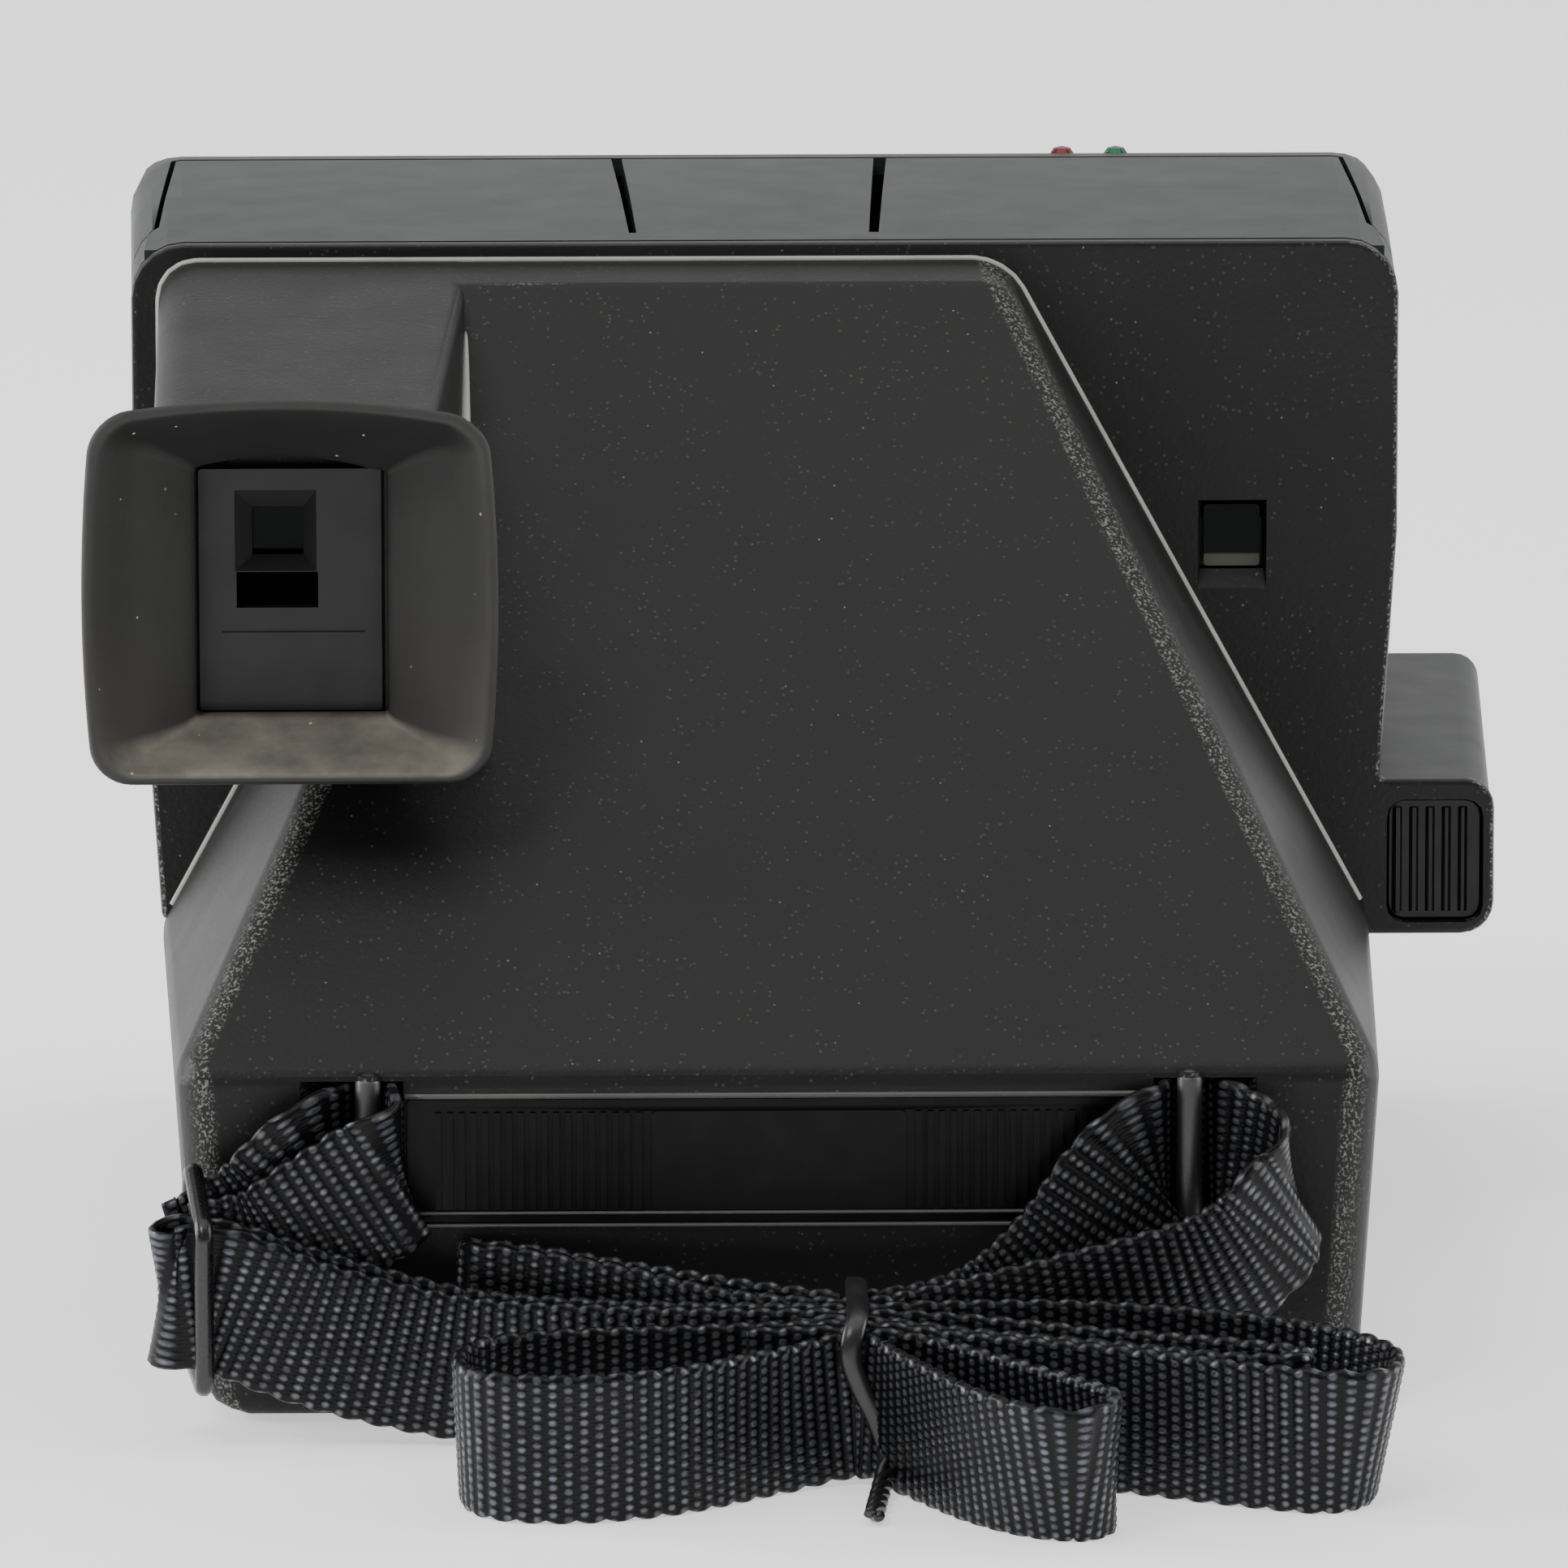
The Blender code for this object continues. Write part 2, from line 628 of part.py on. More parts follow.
def eyepiece(look):
    """Eyepiece frame with its flared window and sighting slot, and its lens."""
    front = -47.4 - GAP
    frame = prism("eyepiece_frame", "y", rectangle(-50.7, 59.1, -34.6, 80.7, 0.3),
                  front - 1.9, front, look["gloss"])
    flare = loft("flare_cut", "y", [
        (front - 2.1, rectangle(-47.75, 71.4, -40.15, 79.05)),
        (front - 0.5, rectangle(-46.0, 72.85, -41.5, 77.15)),
        (front + 1.0, rectangle(-46.0, 72.85, -41.5, 77.15))])
    slot = prism("slot_cut", "y", rectangle(-47.4, 68.3, -40.2, 71.5), front - 3, front + 1.0)
    line = prism("line_cut", "y", rectangle(-48.7, 66.1, -36.1, 66.3), front - 3, front - 1.7)
    cut(frame, flare, slot, line)
    lens = turned("eyepiece_lens", [(0, 0), (4.2, 0), (4.2, 0.8), (3.0, 1.3), (0, 1.6)],
                  (FINDER_X, -46.6, FINDER_Z), "y", look["clear"], 20)
    return frame, lens


def counter(look):
    """Film counter: clear window and the numbered wheel behind it."""
    window = prism("counter_window", "y", rectangle(40.2, 63.6, 45.3, 69.3, 0.3),
                   BEZEL + 1.3, BEZEL + 2.1, look["clear"])
    wheel = turned("counter_wheel",
                   [(0, 0), (10.2, 0), (10.6, 0.4), (10.6, 1.0), (2.6, 1.0), (2.6, 2.6), (0, 2.6)],
                   (42.7, PLATE_END + 0.4, 58.0), "y", look["dial"], 24)
    return window, wheel


def mirror(look):
    """Trapezoid mirror that lies under the hump's slope."""
    lean = math.atan2(HUMP_EDGE - BOX_TOP, HUMP_TOP_END - REAR)
    along = Vector((0, math.cos(lean), math.sin(lean)))
    inward = Vector((0, math.sin(lean), -math.cos(lean)))
    foot = Vector((0, REAR, BOX_TOP)) + inward * 6.0
    points = []
    for half, run in ((44.0, 9.0), (19.0, 76.0)):
        for depth in (0.0, 1.2):
            for side in (-1, 1):
                spot = foot + along * run + inward * depth
                points.append((side * half, spot.y, spot.z))
    return hull("mirror", points, look["mirror"])


def lens_group(look):
    """Lens ring in the front panel, its glass, and the shutter behind."""
    ring = turned("lens_ring", [
        (11.2, 0.0), (11.2, 3.2), (12.4, 3.2), (12.4, 5.0), (11.6, 6.2), (10.4, 6.6),
        (7.4, 4.4), (6.6, 3.8), (6.6, 1.0), (8.6, 1.0), (8.6, 0.0)],
        (0, 43.6, LENS_Z), "y", look["gloss"], 28, closed=True)
    glass = turned("taking_lens", [(0, 0), (6.3, 0), (6.3, 1.6), (4.6, 2.3), (2.4, 2.7), (0, 2.8)],
                   (0, 44.8, LENS_Z), "y", look["glass"], 28)
    shutter = prism("shutter_case", "y", rectangle(-22.0, 44.0, 22.0, 76.0, 2.5), 35.6, 41.8,
                    look["gloss"])
    aperture = rod("aperture_cut", "y", (0, 0, LENS_Z), 5.0, 30.0, 46.0)
    cut(shutter, aperture)
    return ring, glass, shutter


def light_cone(look):
    """Four-sided funnel that keeps stray light out between lens and mirror."""
    outer = loft("light_cone", "y", [
        (4.0, rectangle(-19.5, 36.0, 19.5, 84.0, 1.0)),
        (35.2, rectangle(-11.0, 50.0, 11.0, 70.0, 1.0))], look["gloss"])
    inner = loft("cone_hollow", "y", [
        (0.0, rectangle(-18.9, 36.0, 18.9, 84.2, 0.8)),
        (39.2, rectangle(-8.4, 52.8, 8.4, 67.2, 0.8))])
    return cut(outer, inner)


# ======================================================================
# Housing
# ======================================================================

def housing_tops(start, front):
    """Height of the housing's crown at its rear edge, over the arms and in front."""
    return [(start, HOUSING_REAR_TOP), (24.0, HOUSING_TOP - 0.2), (front, HOUSING_TOP)]


def front_housing(look):
    """Smooth housing: top band, side walls, arm channels and the side pod."""
    housing = loft("front_housing", "y", [
        (y, housing_outline(y, top)) for y, top in housing_tops(PLATE_END + GAP, FACE)],
        look["smooth"])
    hollow = loft("housing_hollow", "y", [
        (y, housing_outline(y, top, 2.2, SKIRT - 6)) for y, top in housing_tops(-4.0, 60.0)])
    cut(housing, hollow)
    pod = pod_form()
    join(housing, pod)
    for side in (-1, 1):
        low, high = sorted((side * 53.0, side * (HOUSING_HALF - 1.2)))
        cheek = prism("cheek", "x", rectangle(PLATE_END + GAP, 65.5, FACE, 93.0), low, high)
        join(housing, cheek)
    for side in (-1, 1):
        low, high = sorted((side * (ARM_IN - SLIT), side * (HOUSING_HALF + 8)))
        channel = slant(prism(
            "arm_channel", "x",
            arm_outline(ARM_R + SLIT, FACE + 10, PIVOT_Z - ARM_R - SLIT), low, high))
        pin_low, pin_high = sorted((side * 50.0, side * 60.0))
        pin_hole = rod("pin_hole", "x", (0, PIVOT_Y, PIVOT_Z), PIN_R + GAP, pin_low, pin_high)
        cut(housing, channel, pin_hole)
    left_slot = [(-12.4, 4.2), (-11.7, 4.2), (-13.2, 60.0), (-14.3, 60.0)]
    right_slot = [(9.6, 4.2), (10.5, 4.2), (12.7, 60.0), (11.4, 60.0)]
    for outline in (left_slot, right_slot):
        cut(housing, prism("tongue_slot", "z", outline, 88.0, 99.0))
    return housing


def pod_outline(out, high, inset=0.0):
    """The pod cut across: its outer side and top, with round outer corners."""
    return rounded(
        [(POD_IN, POD_LOW + inset), (out - inset, POD_LOW + inset),
         (out - inset, high - inset), (POD_IN, high - inset)], [0, 2.8, 2.4, 0], 5)


def pod_form():
    """Pod on the photographer's right, hollow for the latch and the button."""
    rear_out, rear_high = POD_OUT - 0.2, POD_HIGH - 0.4
    pod = loft("pod_form", "y", [
        (PLATE_END + GAP, pod_outline(rear_out, rear_high)),
        (POD_END - 4.0, pod_outline(rear_out + POD_FLARE, rear_high + 1.2)),
        (POD_END, pod_outline(rear_out + POD_FLARE, rear_high + 1.2, 1.6))])
    tile_bay = prism("tile_bay", "y", rectangle(57.1, 30.4, 66.0, 41.9, 1.6), -6.0, 5.0)
    bay = prism("latch_bay", "y", rectangle(57.6, 31.0, 64.4, 41.6, 0.8), -6.0, 24.0)
    well = rod("button_well", "y", (BUTTON_X, 0, BUTTON_Z), BUTTON_R, POD_END - 9.0, POD_END + 6)
    film_box_clearance = box("pod_notch", (50.0, -6.0, 25.0), (BOX_HALF + 0.3, 80.0, SKIRT))
    return cut(pod, film_box_clearance, tile_bay, bay, well)


def front_panel(look):
    """Recessed front wall with the lens opening, over a sloping lower shelf."""
    panel = prism("front_panel", "y", rectangle(-52.4, SKIRT + 0.3, 52.4, 92.2, 2.0),
                  43.9, FACE - 0.1, look["gloss"])
    shelf = prism("shelf", "x", [(FACE + 0.3, SKIRT), (68.0, SKIRT), (68.0, 33.6), (66.8, 34.6),
                                 (52.0, 45.2), (FACE + 0.3, 46.0)], -57.0, POD_IN - GAP)
    bridge = box("shelf_bridge", (-52.2, 44.5, SKIRT + 0.4), (52.2, FACE + 1.0, 45.6))
    join(panel, bridge, shelf)
    lens_hole = rod("lens_hole", "y", (0, 0, LENS_Z), 11.5, 40.0, 50.0, steps=36)
    finder_hole = prism("finder_hole", "y", rectangle(-50.5, 69.0, -37.0, 81.5, 1.0), 40.0, 50.0)
    cell_hole = rod("cell_hole", "y", (CELL_X, 0, CELL_Z), 5.0, 40.0, 50.0)
    slider_slot = prism("slider_slot", "y", rectangle(21.5, 51.6, 38.5, 54.4), 40.0, 50.0)
    shelf_hollow = prism("shelf_hollow", "x", [(48.6, 28.0), (65.5, 28.0), (65.5, 33.0),
                                               (48.6, 43.4)], -53.5, 53.5)
    return cut(panel, lens_hole, finder_hole, cell_hole, slider_slot, shelf_hollow)


def panel_windows(look):
    """Finder window, light cell lens and exposure slider in the front panel."""
    window = prism("finder_window", "y", rectangle(-50.1, 69.4, -37.4, 81.1, 0.8), 44.2, 45.6,
                   look["clear"])
    cell = turned("cell_lens", [(0, 0), (4.6, 0), (4.6, 1.8), (3.4, 2.6), (0, 3.0)],
                  (CELL_X, 43.8, CELL_Z), "y", look["glass"], 24)
    slider = box("exposure_slider", (28.2, 42.0, 52.0), (31.8, 48.2, 54.0), look["button"])
    join(slider, box("slider_plate", (26.0, 42.0, 50.4), (34.0, 43.3, 55.6)))
    return window, cell, slider


# ======================================================================
# Flash unit
# ======================================================================

def flash_profile():
    """Side view of the flash unit, arms included."""
    arc = circle(PIVOT_Y, PIVOT_Z, ARM_R, 14, start=90.0, sweep=180.0)
    low = PIVOT_Z - ARM_R
    nose = rounded([(LID_BACK, low), (LID_BACK, LID_FOOT), (72.0, LID_FOOT), (NOSE, 66.0),
                    (70.5, 82.5), (61.0, 91.6), (LID_BACK + 2.2, HOUSING_TOP + 0.1),
                    (LID_BACK, 100.0)], [0, 0, 3.0, 60.0, 16.0, 16.0, 0, 0], 4)
    return nose + arc


def flash_shell(look):
    """Flash unit's cap with its two arms, cut from the housing's own arch."""
    shell = loft("flash_shell", "y", [
        (y, housing_outline(y, top, 0, LID_FOOT - 4))
        for y, top in housing_tops(PLATE_END + GAP, FACE)] + [
        (NOSE + 2, housing_outline(FACE, HOUSING_TOP, 1.0, LID_FOOT - 4))], look["smooth"])
    profile = prism("flash_profile", "x", flash_profile(), -70.0, 70.0)
    keep(shell, profile)
    inside = [(side * arm_inside(y), y) for side, y in
              ((-1, -10.0), (1, -10.0), (1, LID_BACK), (-1, LID_BACK))]
    between = prism("between_arms", "z", inside, 30.0, 110.0)
    hollow = loft("flash_hollow", "y", [
        (y, housing_outline(FACE, HOUSING_TOP + 0.6, inset, LID_FOOT - 4))
        for y, inset in ((LID_BACK - 5, LID_WALL), (NOSE + 2, LID_WALL + 1.0))])
    hollow_profile = prism("hollow_profile", "x", rounded(
        [(40.0, 30.0), (54.6, 30.0), (54.6, LID_FOOT + LID_WALL), (70.6, LID_FOOT + LID_WALL),
         (70.6, 70.0), (67.0, 82.6), (58.0, 91.0), (51.0, 92.6), (40.0, 95.4)],
        [0, 0, 0, 1.5, 6.0, 8.0, 6.0, 0, 0], 3), -60.0, 60.0)
    keep(hollow, hollow_profile)
    window = prism("flash_opening", "z", rectangle(8.0, 57.4, 50.0, 69.4, 0.8), 40.0, 50.0)
    cut(shell, between, hollow, window)
    for side in (-1, 1):
        low, high = sorted((side * 50.0, side * 62.0))
        cut(shell, rod("arm_bore", "x", (0, PIVOT_Y, PIVOT_Z), PIN_R + GAP, low, high))
    for number in range(5):
        z = 52.0 + 2.2 * number
        groove = prism("thumb_groove", "x", circle(NOSE + 0.6, z, 1.0, 10), -14.0, 14.0)
        cut(shell, groove)
    for x in (29.0, 34.1):
        cut(shell, rod("led_hole", "z", (x, 52.0, 0), 1.5, 85.0, 99.0, steps=16))
    return shell


def flash_parts(look):
    """What the flash unit carries: window, reflector, tube and two lamps."""
    window = prism("flash_window", "z", rectangle(8.3, 57.7, 49.7, 69.1, 0.6),
                   LID_FOOT + 0.2, LID_FOOT + 1.8, look["clear"])
    trough = [(57.6, 49.6), (58.4, 49.6), (61.0, 55.4), (66.2, 55.4), (68.8, 49.6),
              (69.6, 49.6), (67.0, 56.4), (60.2, 56.4)]
    reflector = prism("flash_reflector", "x", trough, 9.5, 48.5, look["mirror"])
    tube = rod("flash_tube", "x", (0, 63.5, 52.6), 1.4, 10.0, 48.0, look["clear"], 14, 0.4)
    lamps = []
    for name, x, finish in (("ready_lamp_red", 29.0, "red"), ("ready_lamp_green", 34.1, "green")):
        lamps.append(turned(name, [(0, 88.0), (1.2, 88.0), (1.2, 94.5), (0.8, 95.1), (0, 95.3)],
                            (x, 52.0, 0), "z", look[finish], 16))
    return window, reflector, tube, lamps


def arm_pins(look):
    """Shouldered pins that carry the flash unit's arms."""
    made = []
    for name, side in (("arm_pin_left", -1), ("arm_pin_right", 1)):
        reach = [(0, 52.0), (3.2, 52.0), (3.2, 52.4), (PIN_R, 52.4), (PIN_R, 57.2),
                 (1.6, 57.6), (0, 57.6)]
        profile = [(radius, side * x) for radius, x in reach]
        made.append(turned(name, profile, (0, PIVOT_Y, PIVOT_Z), "x", look["steel"], 20))
    return made


# ======================================================================
# Button, latch, door, rollers
# ======================================================================

def shutter_button(look):
    """Round shutter button in the front of the pod."""
    return turned("shutter_button", [
        (0, 0), (BUTTON_R - 0.3, 0), (BUTTON_R - 0.3, 9.6), (BUTTON_R - 1.0, 10.4),
        (1.8, 10.2), (0, 10.0)], (BUTTON_X, POD_END - 7.0, BUTTON_Z), "y", look["button"], 24)


def door_latch(look):
    """Ribbed tile at the rear of the pod that is pushed forward to open the door."""
    tile = prism("door_latch", "y", rectangle(57.4, 30.7, 65.7, 41.6, 1.3),
                 BEZEL + 1.2, BEZEL + 2.2, look["gloss"])
    for number in range(5):
        rib = rod("latch_rib", "z", (58.15 + 1.5 * number, BEZEL + 1.25, 0), 0.45, 31.3, 41.0,
                  steps=10)
        join(tile, rib)
    join(tile, box("latch_slide", (59.6, BEZEL + 2.0, 33.4), (63.2, 17.0, 39.8)))
    return tile


def film_door(look):
    """Hollow film door with the slot that prints leave by."""
    door = prism("film_door", "y", box_outline(BOX_HALF - 0.2, DOOR_TOP, DOOR_FOOT, 4.4),
                 DOOR_BACK, NOSE, look["smooth"])
    side_view = prism("door_profile", "x", rounded(
        [(DOOR_BACK, DOOR_FOOT), (NOSE, DOOR_FOOT), (NOSE, DOOR_TOP), (DOOR_BACK, DOOR_TOP)],
        [2.2, 5.0, 4.0, 0.4], 5), -70.0, 70.0)
    plan_view = prism("door_plan", "z", rounded(
        [(-BOX_HALF, 40.0), (BOX_HALF, 40.0), (BOX_HALF, NOSE), (-BOX_HALF, NOSE)],
        [0, 0, 6.0, 6.0], 5), -5.0, 40.0)
    keep(door, side_view)
    keep(door, plan_view)
    hollow = prism("door_hollow", "x", [(40.0, 7.4), (52.6, 7.4), (54.6, 4.0), (70.4, 4.0),
                                        (70.4, 28.3), (40.0, 28.3)], -51.0, 51.0)
    exit_slot = box("exit_slot", (-43.0, 66.0, 20.4), (43.0, 80.0, 23.4))
    cut(door, hollow, exit_slot)
    for side in (-1, 1):
        low, high = sorted((side * 29.6, side * 36.4))
        pocket_end = circle(HINGE_Y, HINGE_Z, KNUCKLE_ROOM, 6, start=0.0, sweep=90.0)
        pocket = prism("knuckle_pocket", "x", [(40.0, -2.0), (HINGE_Y + KNUCKLE_ROOM, -2.0)]
                       + pocket_end + [(40.0, HINGE_Z + KNUCKLE_ROOM)], low, high)
        bore_low, bore_high = sorted((side * 24.0, side * 42.0))
        bore = rod("door_bore", "x", (0, HINGE_Y, HINGE_Z), 1.2, bore_low, bore_high)
        cut(door, pocket, bore)
    return door


def door_pins(look):
    """Short pins of the film door's two hinges."""
    made = []
    for name, side in (("door_pin_left", -1), ("door_pin_right", 1)):
        low, high = sorted((side * 24.5, side * 41.5))
        made.append(rod(name, "x", (0, HINGE_Y, HINGE_Z), 0.9, low, high, look["steel"], 14, 0.2))
    return made


def rollers(look):
    """Two steel rollers that press the print as it leaves, and their bracket."""
    made = []
    for name, z in (("upper_roller", NIP_Z + ROLLER_R + 0.2),
                    ("lower_roller", NIP_Z - ROLLER_R - 0.2)):
        half = ROLLER_HALF
        profile = [(0, -half - 4.6), (1.2, -half - 4.6), (1.2, -half), (ROLLER_R, -half),
                   (ROLLER_R, half), (1.2, half), (1.2, half + 4.6), (0, half + 4.6)]
        made.append(turned(name, profile, (0, ROLLER_Y, z), "x", look["steel"], 20))
    bracket = box("roller_bracket", (-45.0, 51.2, 27.3), (45.0, 60.8, 28.0), look["steel"])
    for side in (-1, 1):
        low, high = sorted((side * 43.8, side * 45.0))
        plate = prism("bracket_end", "x", rectangle(51.2, 15.4, 60.8, 27.8, 1.5), low, high)
        join(bracket, plate)
        for z in (NIP_Z + ROLLER_R + 0.2, NIP_Z - ROLLER_R - 0.2):
            cut(bracket, rod("journal_hole", "x", (0, ROLLER_Y, z), 1.5, low - 1, high + 1,
                             steps=14))
    return made, bracket


# ======================================================================
# Neck strap
# ======================================================================

def smooth_path(points, count):
    """Catmull-Rom curve through control points, sampled evenly in parameter."""
    knots = [Vector(p) for p in points]
    knots = [2 * knots[0] - knots[1]] + knots + [2 * knots[-1] - knots[-2]]
    spans = len(knots) - 3
    path = []
    for index in range(count):
        whole = index / (count - 1) * spans
        k = min(int(whole), spans - 1)
        t = whole - k
        a, b, c, d = knots[k:k + 4]
        path.append(0.5 * ((2 * b) + (c - a) * t + (2 * a - 5 * b + 4 * c - d) * t * t
                           + (3 * b - a - 3 * c + d) * t ** 3))
    return path


def ribbon(name, points, finish, count, width=WEB_W, thick=WEB_T):
    """Webbing along a path of (x, y, z) or (x, y, z, lean_x, lean_y).

    The leans say how far the upper edge lies to +X and +Y of the lower one.
    """
    path = smooth_path([p[:3] for p in points], count)
    leans = smooth_path([(p[3:] or (0, 0)) + (0,) for p in points], count)
    mesh_data = bmesh.new()
    rings = []
    for index, spot in enumerate(path):
        ahead = path[min(index + 1, count - 1)] - path[max(index - 1, 0)]
        ahead.normalize()
        lean = leans[index]
        rise = math.sqrt(width ** 2 - lean.length_squared)
        up = Vector((lean.x, lean.y, rise))
        up = (up - ahead * up.dot(ahead)).normalized()
        out = ahead.cross(up)
        corners = ((-1, -1), (1, -1), (1, 1), (-1, 1))
        rings.append([mesh_data.verts.new(
            (spot + up * (width / 2 * b) + out * (thick / 2 * a)) * MM) for a, b in corners])
    for lower, upper in zip(rings, rings[1:]):
        for k in range(4):
            after = (k + 1) % 4
            mesh_data.faces.new((lower[k], lower[after], upper[after], upper[k]))
    mesh_data.faces.new(rings[0])
    mesh_data.faces.new(rings[-1])
    return finish_object(name, mesh_data, finish)


def tube(name, path, section, normal, finish=None, closed=False):
    """A section of (across, out) points carried along a path that lies in one plane."""
    mesh_data = bmesh.new()
    points = [Vector(p) for p in path]
    flat = Vector(normal).normalized()
    count = len(points)
    rings = []
    for index, spot in enumerate(points):
        back = points[index - 1] if closed or index else spot
        ahead = points[(index + 1) % count] if closed or index < count - 1 else spot
        out = (ahead - back).normalized().cross(flat)
        rings.append([mesh_data.verts.new((spot + flat * a + out * b) * MM)
                      for a, b in section])
    sides = len(section)
    pairs = list(zip(rings, rings[1:]))
    if closed:
        pairs.append((rings[-1], rings[0]))
    for lower, upper in pairs:
        for k in range(sides):
            after = (k + 1) % sides
            mesh_data.faces.new((lower[k], lower[after], upper[after], upper[k]))
    if not closed:
        mesh_data.faces.new(rings[0])
        mesh_data.faces.new(rings[-1])
    return finish_object(name, mesh_data, finish)


def tied(layer):
    """Where a layer of the bundle is held by the tie; layer 0 is next to the body."""
    y = STACK_BACK - STACK_PITCH * layer
    return (TIE_X, y, WEB_W / 2 + 0.7 + 1.2 * (1 - layer / 7))


def floor_point(x, y, raised=0.0, lean_x=0.0, lean_y=0.0):
    """A point of the bundle, given by its lower edge on the ground or raised above it."""
    rise = math.sqrt(WEB_W ** 2 - lean_x ** 2 - lean_y ** 2)
    return (x + lean_x / 2, y + lean_y / 2, rise / 2 + 0.2 + raised, lean_x, lean_y)


def strap(look):
    """The webbing: a loop at each lug and the folds held by the tie."""
    web = look["webbing"]
    left_loop = [
        (-52.0, -77.6, 14.6, -1.0, 0), (-49.6, -77.4, 15.4, -3.0, 0),
        (-44.6, -76.9, 18.6, -5.2, 0), (-41.7, -76.2, 21.6, -4.4, 0),
        (-40.0, -75.2, 23.2, -1.6, 0), (-38.7, -73.7, 23.75, 0, 0),
        (-37.2, -71.6, 23.75, 0, 0), (-35.6, -71.1, 23.75, 0, 0),
        (-34.1, -71.8, 23.75, 0, 0), (-33.7, -73.4, 23.75, 0, 0),
        (-33.5, -75.2, 23.7, -0.2, 0), (-33.3, -76.8, 23.3, -1.2, 0),
        (-34.2, -77.9, 22.4, -3.2, 0), (-36.6, -78.2, 20.9, -5.2, 0),
        (-40.3, -78.4, 18.5, -5.4, 0), (-44.8, -78.9, 15.8, -3.6, 0),
        (-50.4, -79.2, 14.8, -2.0, 0)]
    ribbon("strap_left_loop", left_loop, web, 54)
    rear_fold = [
        tied(0), (13.8, -84.2, 8.6, -3.5, 0), (19.8, -80.8, 10.4, -7.0, 0),
        (25.6, -78.4, 15.2, -8.0, 0), (29.4, -77.0, 20.4, -6.0, 0),
        (31.4, -76.0, 22.9, -2.0, 0), (32.8, -74.8, 23.7, -0.2, 0),
        (33.7, -73.1, 23.8, 0, 0),
        (34.6, -71.5, 23.8, 0, 0), (36.2, -70.9, 23.8, 0, 0),
        (37.8, -71.6, 23.8, 0, 0), (39.2, -73.4, 23.8, 0, 0),
        (41.7, -75.4, 23.2, -1.8, -0.4),
        (43.8, -77.3, 22.2, -3.2, -2.0), (44.3, -78.8, 21.0, -4.0, -3.4),
        (43.2, -80.3, 19.3, -4.4, -4.3), (40.6, -81.3, 16.5, -4.0, -4.5),
        (36.1, -82.2, 14.0, -3.4, -3.5), (28.3, -83.8, 11.7, -3.0, -1.5),
        (19.6, -84.9, 9.6, -2.4, 0), (12.4, -86.7, 8.4, -1.2, 0), tied(1),
        floor_point(-4.0, -85.9, 1.6), floor_point(-14.0, -80.8, 2.8),
        floor_point(-23.0, -77.6, 3.6, 0.6), floor_point(-27.4, -76.8, 3.8, 1.3),
        floor_point(-28.6, -75.6, 3.8, 1.3), floor_point(-26.8, -74.4, 3.8, 1.0),
        floor_point(-20.0, -75.4, 3.2), floor_point(-10.0, -79.8, 2.4),
        floor_point(-2.0, -84.0, 2.0), (TIE_X - 1.6, STACK_BACK + 0.1, tied(0)[2])]
    ribbon("strap_rear_fold", rear_fold, web, 96)
    front_fold = [
        floor_point(-3.0, -95.6, 0.4), tied(6), floor_point(13.0, -98.8, 0.2),
        floor_point(20.0, -104.4, 0, 0, -2.0), floor_point(25.6, -111.0, 0, 0, -3.0),
        floor_point(27.0, -116.0, 0, 0.5, -3.0), floor_point(24.6, -119.2, 0, 0, -4.0),
        floor_point(20.2, -117.4, 0, 0, -4.0), floor_point(15.4, -111.6, 0, 0, -3.5),
        floor_point(10.3, -102.2, 0, 0, -1.6), tied(7), floor_point(0.0, -101.2),
        floor_point(-9.0, -108.8), floor_point(-17.8, -112.0),
        floor_point(-24.8, -110.4, 0, -0.6), floor_point(-27.2, -104.6, 0, -0.6),
        floor_point(-25.6, -97.4, 0, -0.4), floor_point(-19.0, -94.1),
        floor_point(-8.0, -93.5, 0.2), tied(5), floor_point(16.0, -97.0, 0.2),
        floor_point(28.0, -101.4), floor_point(38.0, -106.6, 0, 0.5, -1.0),
        floor_point(45.2, -109.6, 0, 1.4, -1.5), floor_point(49.0, -107.4, 0, 2.3, -1.5),
        floor_point(49.9, -101.0, 0, 2.3, -0.5), floor_point(46.8, -94.4, 0, 1.2),
        floor_point(40.0, -89.4, 0.2), floor_point(26.0, -87.0, 0.8),
        floor_point(14.0, -88.6, 1.2), tied(2), floor_point(-6.0, -87.1, 0.8),
        floor_point(-18.0, -83.0, 0.4), floor_point(-28.0, -80.8, 0.9),
        (-40.0, -80.6, 10.4, -2.0, 0), (-48.6, -81.1, 13.4, -1.5, 0),
        (-52.4, -81.0, 13.9, 0, 0), (-53.4, -81.8, 13.6, 0, 0),
        (-52.4, -82.6, 13.2, 0, 0), (-48.6, -82.6, 13.1, -1.2, 0),
        (-40.0, -82.4, 9.8, -2.0, 0), floor_point(-28.0, -82.4, 0.5),
        floor_point(-16.0, -85.6, 0.3), floor_point(-4.0, -89.5, 0.8), tied(3),
        floor_point(16.0, -91.4, 0.6), floor_point(28.0, -94.6), floor_point(37.0, -98.0),
        floor_point(42.6, -101.2, 0, 0.6), floor_point(44.0, -103.4, 0, 0.6),
        floor_point(42.4, -105.0, 0, 0.6), floor_point(37.0, -103.9),
        floor_point(28.0, -99.4), floor_point(16.0, -95.0, 0.2), tied(4),
        floor_point(2.0, -92.6, 0.6)]
    ribbon("strap_front_fold", front_fold, web, 192)


def slider(look):
    """Bent wire buckle that the webbing runs through."""
    corners = [(-85.2, 5.5), (-85.2, 19.7), (-75.6, 24.0), (-75.6, 6.4)]
    path = [(-49.9 - 0.13 * (y + 85.2), y, z) for y, z in rounded(corners, 1.5, 4)]
    return tube("strap_slider", path, circle(0, 0, 0.85, 10), (1, 0.13, 0), look["steel"], True)


